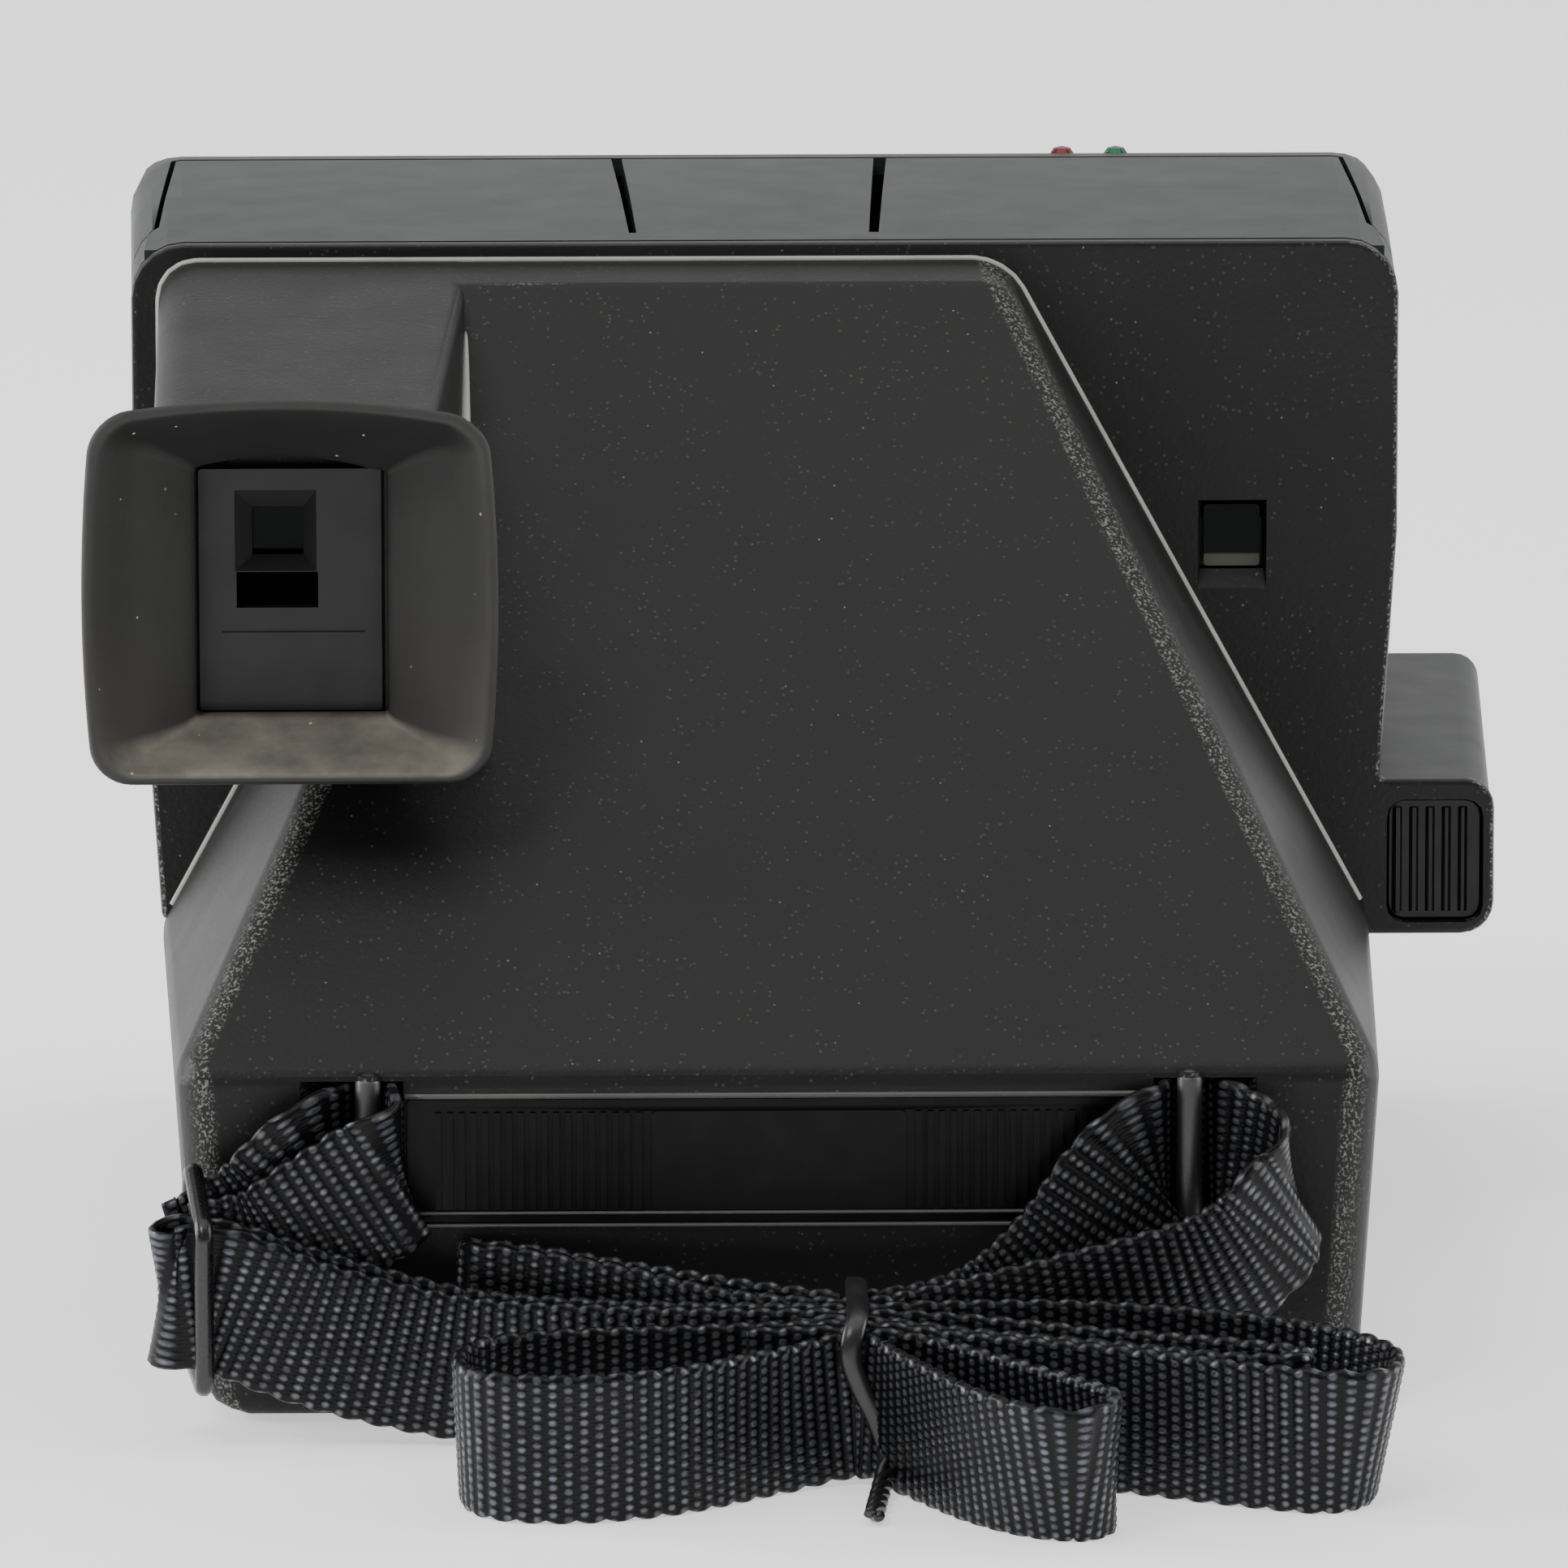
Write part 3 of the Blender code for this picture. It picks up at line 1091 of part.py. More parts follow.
def tie(look):
    """Flat wire tie round the bundle, with its two ends twisted together."""
    back = STACK_BACK + WEB_T / 2 + 0.8
    front = STACK_BACK - 7 * STACK_PITCH - WEB_T / 2 - 1.3
    top = tied(0)[2] + WEB_W / 2 + 0.75
    half, thin, foot = 0.9, 0.25, 0.3
    corners = [(back, foot), (back, top), (front, top - 0.9), (front, foot)]
    path = [(TIE_X, y, z) for y, z in rounded(corners, 0.5, 3)]
    band = tube("strap_tie", path, rectangle(-half, -thin, half, thin), (1, 0, 0),
                look["tie"], True)
    tail = [(TIE_X, front + 0.2, 2.4), (TIE_X, front - 4.0, 2.4), (TIE_X, front - 8.0, 1.6),
            (TIE_X, front - 14.0, 1.1)]
    return join(band, tube("tie_tail_form", tail, circle(0, 0, 0.9, 8), (1, 0, 0)))


def main():
    for obj in list(bpy.data.objects):
        bpy.data.objects.remove(obj, do_unlink=True)
    look = finishes()
    rear_shell(look)
    base_tray(look)
    floor_screws(look)
    grip_panel(look)
    eyecup(look)
    eyepiece(look)
    window, wheel = counter(look)
    pivot("counter_axis", (42.7, PLATE_END + 0.4, 58.0), wheel)
    mirror(look)
    lens_group(look)
    light_cone(look)
    front_housing(look)
    front_panel(look)
    panel_windows(look)
    shell = flash_shell(look)
    window, reflector, tube, lamps = flash_parts(look)
    pivot("flash_axis", (0, PIVOT_Y, PIVOT_Z), shell, window, reflector, tube, *lamps)
    arm_pins(look)
    shutter_button(look)
    door_latch(look)
    door = film_door(look)
    pins = door_pins(look)
    (upper, lower), bracket = rollers(look)
    pivot("door_axis", (0, HINGE_Y, HINGE_Z), door, bracket, upper, lower)
    strap(look)
    slider(look)
    tie(look)


main()
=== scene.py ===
"""Dresses the instant camera: moulded shells, optics, flash, film door and strap."""
import json
import math

import bmesh
import bpy
import numpy as np
from bpy.props import FloatProperty, FloatVectorProperty, PointerProperty
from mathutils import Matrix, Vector

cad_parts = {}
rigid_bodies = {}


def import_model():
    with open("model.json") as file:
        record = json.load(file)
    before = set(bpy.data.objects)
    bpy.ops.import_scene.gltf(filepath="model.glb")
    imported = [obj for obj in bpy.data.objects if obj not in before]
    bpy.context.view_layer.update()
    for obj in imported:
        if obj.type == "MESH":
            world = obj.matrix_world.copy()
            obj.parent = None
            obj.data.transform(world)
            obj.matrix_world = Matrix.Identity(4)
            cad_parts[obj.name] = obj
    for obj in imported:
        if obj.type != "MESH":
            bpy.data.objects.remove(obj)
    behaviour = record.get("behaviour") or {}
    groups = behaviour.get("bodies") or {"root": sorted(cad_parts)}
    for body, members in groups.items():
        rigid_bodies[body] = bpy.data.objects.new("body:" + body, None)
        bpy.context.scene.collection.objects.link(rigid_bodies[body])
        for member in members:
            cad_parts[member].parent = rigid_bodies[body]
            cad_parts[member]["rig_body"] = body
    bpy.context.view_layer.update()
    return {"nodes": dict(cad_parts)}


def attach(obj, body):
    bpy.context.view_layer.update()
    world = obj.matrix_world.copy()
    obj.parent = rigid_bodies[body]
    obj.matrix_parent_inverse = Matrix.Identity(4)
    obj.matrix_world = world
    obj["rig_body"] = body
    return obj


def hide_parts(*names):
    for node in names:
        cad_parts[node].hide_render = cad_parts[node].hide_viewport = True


bl_info = {
    "name": "Instant camera dressing",
    "version": (1, 0, 0),
    "blender": (4, 5, 0),
    "location": "3D View > Sidebar > Camera",
    "description": "Builds the visible surfaces and finishes of a box instant camera",
    "category": "Add Mesh",
}

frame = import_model()
BODY_OF = {node: obj["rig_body"] for node, obj in frame["nodes"].items()}
MM = 0.001
WEB = 12.7  # width of the webbing, in millimetres


# ----------------------------------------------------------------------
# Sizes and colours
# ----------------------------------------------------------------------

def length(name, text, value):
    """A size in metres."""
    return FloatProperty(name=name, description=text, default=value, unit="LENGTH",
                         precision=5)


def colour(name, text, value):
    """A colour, red, green and blue in linear light."""
    return FloatVectorProperty(name=name, description=text, default=value,
                               subtype="COLOR", size=3, min=0, max=1)


def power(name, text, value):
    """The power of a light, in watts."""
    return FloatProperty(name=name, description=text, default=value, unit="POWER",
                         min=0)


def strength(name, text, value):
    """A brightness with no unit."""
    return FloatProperty(name=name, description=text, default=value, min=0)


class ShellSettings(bpy.types.PropertyGroup):
    """Moulded shells"""
    grained: colour("Grained plastic", "Rear shell and film box",
                    (0.0066, 0.0064, 0.0061))
    satin: colour("Satin plastic", "Top band, side pod, flash unit and door",
                  (0.030, 0.034, 0.032))
    gloss: colour("Gloss plastic", "Grip panel, front panel and lens ring",
                  (0.004, 0.004, 0.005))
    dust: colour("Dust", "Specks that lie on the shell", (0.22, 0.21, 0.19))
    # Painted highlight: glints of grain rubbed shiny along the edges, given as a
    # lighter colour
    painted_glint: colour("Grain glint", "Grain rubbed shiny along the edges", (0.19, 0.19, 0.18))
    grain: length("Grain size", "Width of one grain of the moulded texture", 0.00055)
    rounding: length("Rounding", "Width of the rear shell's rounded edges", 0.00055)
    # The fillet's pale colour is a painted highlight of the concave corner where the
    # shell rises
    fillet: colour("Fillet", "Bright line where the shell rises", (0.36, 0.36, 0.34))
    trim: colour("Trim", "Lines round the grip panel", (0.075, 0.075, 0.07))


class EyecupSettings(bpy.types.PropertyGroup):
    """Eyecup"""
    rubber: colour("Rubber", "The eyecup's rubber", (0.038, 0.037, 0.036))
    dust: colour("Dust", "Film of dust on the rubber", (0.34, 0.32, 0.26))
    frame: colour("Frame", "Frame round the eyepiece", (0.016, 0.016, 0.0165))
    # The eyepiece is painted near black: painted shade of the dark tunnel behind its
    # glass
    lens: colour("Eyepiece", "Dark glass of the eyepiece", (0.003, 0.004, 0.004))


class FittingSettings(bpy.types.PropertyGroup):
    """Optics, controls and metal"""
    # The pane's dark colour is painted shade of the unlit space behind it; its pale
    # edge is a painted highlight on its lower chamfer
    pane: colour("Pane", "Dark pane over the counter", (0.004, 0.005, 0.005))
    chamfer: colour("Pane's edge", "Pale lower edge of the pane", (0.10, 0.10, 0.085))
    glass: colour("Coated glass", "Taking lens and light cell lens", (0.35, 0.33, 0.50))
    clear: colour("Clear plastic", "Windows of the finder and the flash",
                  (0.75, 0.78, 0.80))
    mirror: colour("Mirror", "Mirror and flash reflector", (0.86, 0.87, 0.88))
    dial: colour("Dial", "Counter wheel", (0.02, 0.02, 0.02))
    button: colour("Button", "Shutter button and exposure slider", (0.22, 0.02, 0.015))
    latch: colour("Latch", "Ribbed door latch", (0.006, 0.006, 0.0065))
    red: colour("Red lamp", "Red ready lamp", (0.80, 0.05, 0.06))
    green: colour("Green lamp", "Green ready lamp", (0.05, 0.60, 0.25))
    steel: colour("Steel", "Screws, pins and rollers", (0.42, 0.42, 0.43))
    lug: colour("Lug steel", "Sleeves on the strap bars", (0.13, 0.13, 0.13))


class StrapSettings(bpy.types.PropertyGroup):
    """Strap and wire tie"""
    width: length("Width", "Width of the webbing", WEB * MM)
    thickness: length("Thickness", "Thickness of the webbing's core", 0.00075)
    rib: length("Rib", "Distance between the woven ribs", 0.00128)
    yarn: length("Yarn", "Distance between yarns across the webbing", 0.0008)
    relief: length("Relief", "Height of the weave", 0.00028)
    yarn_colour: colour("Yarn colour", "Colour of the webbing", (0.004, 0.004, 0.005))
    # Painted highlight: pale, metallic crowns stand in for the sheen of light on each
    # yarn
    crown_highlight_colour: colour("Crown highlight", "Glossy fibres on top of each yarn",
                         (0.165, 0.17, 0.185))
    wire_colour: colour("Buckle colour", "Blackened wire of the buckle",
                        (0.055, 0.055, 0.055))
    tie_colour: colour("Tie colour", "Skin of the wire tie", (0.012, 0.012, 0.012))
    tie_width: length("Tie width", "Width of the wire tie's band", 0.0019)
    tie_thickness: length("Tie thickness", "Thickness of its band and ends", 0.001)


class StageSettings(bpy.types.PropertyGroup):
    """Floor, camera and lights"""
    floor: colour("Floor", "The floor", (0.90, 0.90, 0.90))
    glow: strength("Floor glow", "Light that the floor gives off itself", 0.7)
    focal: length("Focal length", "Focal length of the camera lens", 0.32646)
    overhead: power("Overhead light", "Power of the wide light above", 12.0)
    back: power("Back light", "Power of the wide light behind", 11.0)
    left: power("Left light", "Power of the light on the left", 23.0)
    right: power("Right light", "Power of the light on the right", 12.0)
    key: power("Key light", "Power of the small light above the camera's left", 5.0)
    surround: strength("Surround", "Brightness of the room", 0.25)


# ----------------------------------------------------------------------
# Finishes
# ----------------------------------------------------------------------

NOISE_RANGE = (0.3, 0.7)  # between which most noise lies
# Where a finish starts, and where it is whole, in metres. Grain rubbed shiny, with
# painted glints, lies to the right of the finder housing and below it, and dust lies
# low on the eyecup. The counter's pane carries painted shade above its chamfer and
# a painted highlight on the chamfer.
HOUSING_SIDE = (-0.026, -0.022)
HOUSING_FOOT = (0.057, 0.055)
DUST_HEIGHT = (0.072, 0.066)
CHAMFER_HEIGHT = (0.0646, 0.0648)


class Finish:
    """A node tree built a node at a time round one Principled shader."""

    def __init__(self, name, base, roughness, **sockets):
        self.base = tuple(base)
        self.material = bpy.data.materials.new(name)
        self.material.use_nodes = True
        self.tree = self.material.node_tree
        self.shader = self.tree.nodes["Principled BSDF"]
        self.shader.inputs["Base Color"].default_value = (*self.base, 1)
        self.shader.inputs["Roughness"].default_value = roughness
        for socket, value in sockets.items():
            self.shader.inputs[socket.replace("_", " ")].default_value = value
        self.coordinates = self.tree.nodes.new("ShaderNodeTexCoord").outputs["Object"]

    def link(self, output, target):
        """Feeds an output into an input."""
        self.tree.links.new(output, target)

    def node(self, kind, settings=(), **inputs):
        """Adds a node. Inputs are named, or _0, _1 by number; values or outputs."""
        made = self.tree.nodes.new("ShaderNode" + kind)
        for name, value in settings:
            setattr(made, name, value)
        for name, value in inputs.items():
            socket = made.inputs[int(name[1:])] if name[0] == "_" else made.inputs[name]
            if isinstance(value, bpy.types.NodeSocket):
                self.link(value, socket)
            else:
                socket.default_value = value
        return made

    def math(self, operation, one, two=0.0):
        """One operation on one or two numbers."""
        return self.node("Math", [("operation", operation)], _0=one, _1=two).outputs[0]

    def part(self, vector, axis):
        """A vector's X, Y or Z."""
        return self.node("SeparateXYZ", Vector=vector).outputs[axis]

    def normal(self, axis):
        """The X, Y or Z of the way that the surface faces."""
        return self.part(self.node("NewGeometry").outputs["Normal"], axis)

    def noise(self, size, detail, roughness=0.55):
        """Noise whose features are about size metres wide."""
        made = self.node("TexNoise", Vector=self.coordinates, Scale=1 / size,
                         Detail=detail, Roughness=roughness)
        return made.outputs["Fac"]

    def ramp(self, value, low, high, bottom=0.0, top=1.0):
        """A value taken from low..high to bottom..top, held at both ends."""
        made = self.node("MapRange", _0=value, _1=low, _2=high, _3=bottom, _4=top)
        return made.outputs["Result"]

    def drift(self, size, detail, bottom=0.0, top=1.0):
        """A number that wanders between bottom and top every size metres or so."""
        return self.ramp(self.noise(size, detail), *NOISE_RANGE, bottom, top)

    def mix(self, share, one, two):
        """Two colours mixed, with share of the second."""
        made = self.node("Mix", [("data_type", "RGBA")], _0=share)
        for socket, value in ((made.inputs[6], one), (made.inputs[7], two)):
            if isinstance(value, bpy.types.NodeSocket):
                self.link(value, socket)
            else:
                socket.default_value = (*value, 1)
        return made.outputs[2]

    def bump(self, height, distance, strength):
        """Bumps up to distance metres high."""
        made = self.node("Bump", Height=height, Distance=distance, Strength=strength)
        return made.outputs["Normal"]

    def use(self, **sockets):
        """Links outputs to the shader's sockets."""
        for name, output in sockets.items():
            self.link(output, self.shader.inputs[name.replace("_", " ")])
        return self.material


def times(tone, by):
    """A colour made lighter or darker."""
    return tuple(by * part for part in tone)


def specks(finish, per_metre, near, far, patch, bare):
    """Small round specks in patches patch metres wide; the more bare, the fewer.

    A cell grows a speck where the distance to its middle falls from near to far.
    """
    cells = finish.node("TexVoronoi", Vector=finish.coordinates, Scale=per_metre,
                        Randomness=1.0)
    dots = finish.ramp(cells.outputs["Distance"], near, far)
    keep = finish.ramp(finish.noise(patch, 3), bare, bare + 0.05)
    return finish.math("MULTIPLY", keep, dots)


def grained_plastic(settings):
    """Moulded plastic: a fine grain, painted glints along its rounded edges, and dust.

    A rounded edge is where the surface turns sideways by a part of a right
    angle: the size of the normal's X, risen from 0.05 to 0.18, times the same
    fallen from 0.45 to 0.75. A fine noise picks single grains on it, which are
    painted lighter as glints: painted highlights of grain rubbed shiny. The
    finder housing's own edges are left smooth.
    """
    finish = Finish("grained_plastic", settings.grained, 0.5, Specular_IOR_Level=0.32)
    sideways = finish.math("ABSOLUTE", finish.normal("X"))
    turning = finish.math("MULTIPLY", finish.ramp(sideways, 0.05, 0.18),
                          finish.ramp(sideways, 0.75, 0.45))
    beside = finish.ramp(finish.part(finish.coordinates, "X"), *HOUSING_SIDE)
    below = finish.ramp(finish.part(finish.coordinates, "Z"), *HOUSING_FOOT)
    edges = finish.math("MULTIPLY", turning, finish.math("MAXIMUM", beside, below))
    # Painted glints: lighter single grains on the rounded edges stand in for highlights
    painted_glint = finish.math("MULTIPLY", edges, finish.ramp(
        finish.noise(0.5 * settings.grain, 1), 0.5, 0.68))
    dust = specks(finish, per_metre=480.0, near=0.06, far=0.02, patch=0.006, bare=0.47)
    motes = specks(finish, per_metre=1300.0, near=0.24, far=0.08, patch=0.004,
                   bare=0.45)
    tone = finish.mix(finish.ramp(finish.noise(0.02, 2), 0.35, 0.7), finish.base,
                      times(finish.base, 1.2))
    tone = finish.mix(painted_glint, tone, tuple(settings.painted_glint))
    tone = finish.mix(motes, tone, times(settings.dust, 0.22))
    tone = finish.mix(dust, tone, tuple(settings.dust))
    grain = finish.bump(finish.noise(settings.grain, 2, 0.6), 0.00006, 0.6)
    return finish.use(Base_Color=tone, Roughness=finish.drift(0.009, 4, 0.45, 0.50),
                      Normal=grain)


def satin_plastic(settings):
    """Smooth satin plastic with faint handling marks."""
    finish = Finish("satin_plastic", settings.satin, 0.4, Specular_IOR_Level=0.16)
    tone = finish.mix(finish.ramp(finish.noise(0.03, 3), 0.3, 0.75), finish.base,
                      times(finish.base, 1.1))
    return finish.use(Base_Color=tone, Roughness=finish.drift(0.006, 5, 0.40, 0.45),
                      Normal=finish.bump(finish.noise(0.0004, 2), 0.00002, 0.4))


def plain_plastic(name, base, roughness, gloss=0.5):
    """Plastic with a slight unevenness in its tone and its roughness.

    gloss is the shader's specular level.
    """
    finish = Finish(name, base, roughness, Specular_IOR_Level=gloss)
    tone = finish.mix(finish.drift(0.01, 3), finish.base, times(finish.base, 1.3))
    rough = finish.drift(0.003, 3, roughness - 0.04, roughness + 0.05)
    return finish.use(Base_Color=tone, Roughness=rough,
                      Normal=finish.bump(finish.noise(0.0002, 2), 0.000004, 0.3))


def rubber_finish(settings):
    """Dull rubber, dusty where it faces up, with painted shade where it faces down."""
    finish = Finish("rubber", settings.rubber, 0.72, Specular_IOR_Level=0.35)
    up = finish.normal("Z")
    patch = finish.noise(0.006, 5, 0.6)
    low = finish.ramp(finish.part(finish.coordinates, "Z"), *DUST_HEIGHT)
    film = finish.math("MULTIPLY", finish.ramp(up, 0.0, 0.8),
                       finish.ramp(patch, 0.1, 0.8))
    film = finish.math("MULTIPLY", film, low)
    # Painted shade: faces that look down are darkened to a third of the rubber's colour
    tone = finish.mix(finish.ramp(up, -0.7, -0.2), times(finish.base, 0.3), finish.base)
    tone = finish.mix(film, tone, tuple(settings.dust))
    dust = specks(finish, per_metre=500.0, near=0.09, far=0.04, patch=0.005, bare=0.52)
    tone = finish.mix(dust, tone, times(settings.dust, 2))
    rough = finish.ramp(patch, *NOISE_RANGE, 0.62, 0.82)
    return finish.use(Base_Color=tone, Roughness=rough,
                      Normal=finish.bump(finish.noise(0.0003, 3), 0.00003, 0.6))


def metal_finish(name, base, roughness):
    """Metal with a fine unevenness in its polish."""
    finish = Finish(name, base, roughness, Metallic=1.0)
    marks = finish.noise(0.0002, 2)
    rough = finish.ramp(marks, *NOISE_RANGE, roughness - 0.06, roughness + 0.1)
    return finish.use(Roughness=rough, Normal=finish.bump(marks, 0.000004, 0.5))


def pane_finish(settings):
    """Painted shade for a pane over unlit space; a painted highlight on its chamfer."""
    finish = Finish("counter_pane", settings.pane, 0.12, Specular_IOR_Level=0.06)
    height = finish.part(finish.coordinates, "Z")
    # Painted highlight on the chamfer below CHAMFER_HEIGHT, painted shade above it
    tone = finish.mix(finish.ramp(height, *CHAMFER_HEIGHT), tuple(settings.chamfer),
                      finish.base)
    return finish.use(Base_Color=tone, Roughness=finish.drift(0.001, 3, 0.10, 0.2))


def clear_finish(name, tint, roughness):
    """Clear moulding that lets light through, with a soft unevenness."""
    finish = Finish(name, tint, roughness, Transmission_Weight=0.92, IOR=1.49)
    return finish.use(Roughness=finish.drift(0.004, 2, roughness, roughness + 0.03))


def webbing_finish(settings):
    """Black yarn with a painted highlight on the crown of each pillow, dull in the
    gaps.

    The crowns repeat with the weave. How far a point lies from the middle of its
    rib and from the middle of its yarn is squared, the first is weighed 1.7
    times, and their sum is 0 on a crown's top.
    """
    finish = Finish("webbing", settings.yarn_colour, 0.34, Specular_IOR_Level=0.18)
    chart = finish.node("UVMap", [("uv_map", "webbing")]).outputs["UV"]
    turn = finish.math("DIVIDE", finish.part(chart, "X"), settings.rib)
    odd = finish.math("FLOORED_MODULO", finish.math("FLOOR", turn), 2.0)
    yarn = finish.math("DIVIDE", finish.part(chart, "Y"), settings.yarn)
    yarn = finish.math("ADD", yarn, finish.math("MULTIPLY", odd, 0.5))
    away = [finish.math("SUBTRACT", finish.math("FRACT", count), 0.5)
            for count in (turn, yarn)]
    square = [finish.math("MULTIPLY", off, off) for off in away]
    far = finish.math("ADD", finish.math("MULTIPLY", square[0], 1.7), square[1])
    # Painted highlight: the crown is lighter and metallic so that it shines as the
    # fibres' sheen
    crown = finish.math("MULTIPLY", finish.ramp(far, 0.17, 0.0),
                        finish.ramp(finish.noise(0.0011, 3), 0.3, 0.65, 0.25, 1.0))
    fibre = finish.node("TexWave", [("wave_type", "BANDS"), ("bands_direction", "Y")],
                        Vector=chart, Scale=900.0, Distortion=2.5, Detail=2.0)
    fibre = fibre.outputs["Fac"]
    return finish.use(Base_Color=finish.mix(crown, finish.base,
                                            tuple(settings.crown_highlight_colour)),
                      Metallic=crown, Roughness=finish.ramp(fibre, 0, 1, 0.30, 0.42),
                      Normal=finish.bump(fibre, 0.00002, 0.5))


def library(context):
    """Every finish, made once, under the name that the pieces ask for it by."""
    made = library.made
    if not made:
        scene = context.scene
        shell, cup = scene.camera_shell, scene.camera_eyecup
        fittings, strap = scene.camera_fittings, scene.camera_strap
        made.update({
            "grained": grained_plastic(shell),
            "satin": satin_plastic(shell),
            "gloss": plain_plastic("gloss_plastic", shell.gloss, 0.30, 0.13),
            "frame": plain_plastic("frame_plastic", cup.frame, 0.45, 0.35),
            # Painted shade: the eyepiece lens stands in for the dark tunnel behind it
            "dark": plain_plastic("dark_glass", cup.lens, 0.10, 0.06),
            "pane": pane_finish(fittings),
            "buckle": metal_finish("blackened_wire", strap.wire_colour, 0.28),
            "lug": metal_finish("lug_steel", fittings.lug, 0.46),
            "fillet": plain_plastic("fillet_plastic", shell.fillet, 0.32, 0.6),
            "latch": plain_plastic("latch_plastic", fittings.latch, 0.22, 0.24),
            "trim": plain_plastic("trim_plastic", shell.trim, 0.38, 0.6),
            "rubber": rubber_finish(cup),
            "clear": clear_finish("clear_plastic", fittings.clear, 0.03),
            "lens": clear_finish("coated_glass", fittings.glass, 0.01),
            "mirror": metal_finish("mirror_silver", fittings.mirror, 0.08),
            "steel": metal_finish("steel", fittings.steel, 0.34),
            "dial": plain_plastic("dial", fittings.dial, 0.5),
            "button": plain_plastic("button_plastic", fittings.button, 0.35),
            "red": clear_finish("red_lamp", fittings.red, 0.1),
            "green": clear_finish("green_lamp", fittings.green, 0.1),
            "webbing": webbing_finish(strap),
            "tie": plain_plastic("tie_plastic", strap.tie_colour, 0.30, 0.6),
        })
    return made


library.made = {}


# ----------------------------------------------------------------------
# Meshes
# ----------------------------------------------------------------------

MERGE_DISTANCE = 2e-6
FLAT_ANGLE = math.radians(0.6)
ROUNDED_ANGLE = math.radians(40)
CURVE_STEPS = 60


def surface(name, points, close_u=False, close_v=False, caps=False, uv=None):
    """A mesh of quads over a grid of points, shape (rows, columns, 3).

    close_u joins the last row to the first and close_v the last column to the
    first; caps fills the first and last rows of a tube with one face each; uv is
    the name of a map and its value at each point.
    """
    rows, columns = points.shape[:2]
    index = np.arange(rows * columns).reshape(rows, columns)
    near = index if close_u else index[:-1]
    far = np.roll(index, -1, axis=0) if close_u else index[1:]
    left = near if close_v else near[:, :-1]
    right = np.roll(near, -1, axis=1) if close_v else near[:, 1:]
    far_left = far if close_v else far[:, :-1]
    far_right = np.roll(far, -1, axis=1) if close_v else far[:, 1:]
    quads = np.stack([left, right, far_right, far_left], -1).reshape(-1, 4)
    mesh = bpy.data.meshes.new(name)
    ends = [index[0][::-1].tolist(), index[-1].tolist()] if caps else []
    mesh.from_pydata(points.reshape(-1, 3), [], quads.tolist() + ends)
    if uv:
        layer = mesh.uv_layers.new(name=uv[0])
        corner = np.empty(len(mesh.loops), np.int32)
        mesh.loops.foreach_get("vertex_index", corner)
        values = uv[1].reshape(-1, 2)[corner].astype(np.float32)
        layer.data.foreach_set("uv", values.ravel())
    mesh.shade_smooth()
    obj = bpy.data.objects.new(name, mesh)
    bpy.context.scene.collection.objects.link(obj)
    return obj


def finished(obj, body, finish, replaced, context):
    """Gives a new piece its finish and body, and hides the nodes it stands for."""
    obj.data.materials.clear()
    obj.data.materials.append(library(context)[finish])
    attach(obj, body)
    if replaced:
        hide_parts(*replaced)
    return obj


def moulding(node, finish, context, angle=30.0, round_edge=0.0):
    """A node's own form with its corners merged, shaded smooth and lightly rounded.

    Edges that turn by more than angle degrees stay sharp.
    """
    mesh = frame["nodes"][node].data.copy()
    mesh.name = node + "_skin"
    work = bmesh.new()
    work.from_mesh(mesh)
    bmesh.ops.remove_doubles(work, verts=work.verts, dist=MERGE_DISTANCE)
    bmesh.ops.dissolve_limit(work, angle_limit=FLAT_ANGLE, verts=work.verts,
                             edges=work.edges)
    work.to_mesh(mesh)
    work.free()
    mesh.shade_smooth()
    mesh.set_sharp_from_angle(angle=math.radians(angle))
    obj = bpy.data.objects.new(node + "_skin", mesh)
    bpy.context.scene.collection.objects.link(obj)
    if round_edge:
        bevel = obj.modifiers.new("rounded", "BEVEL")
        bevel.width = round_edge
        bevel.segments = 3
        bevel.limit_method = "ANGLE"
        bevel.angle_limit = ROUNDED_ANGLE
    even = obj.modifiers.new("even", "WEIGHTED_NORMAL")
    even.keep_sharp = True
    return finished(obj, BODY_OF[node], finish, [node], context)


def mouldings(context, **finishes):
    """Finishes several nodes; each argument is a node and its finish."""
    for node, finish in finishes.items():
        moulding(node, finish, context)


def outward(obj):
    """Turns a closed mesh's faces outwards."""
    work = bmesh.new()
    work.from_mesh(obj.data)
    bmesh.ops.recalc_face_normals(work, faces=work.faces)
    work.to_mesh(obj.data)
    work.free()
    return obj


def unit(v):
    """Vectors scaled to length one, row by row."""
    return v / np.linalg.norm(v, axis=-1, keepdims=True)


def travelled(points):
    """How far each point lies along the path through them."""
    return np.r_[0, np.cumsum(np.linalg.norm(np.diff(points, axis=0), axis=1))]


def resampled(points, gone, places):
    """A path's points at other places along it; gone is where they lie now."""
    return np.stack([np.interp(places, gone, column) for column in points.T], 1)


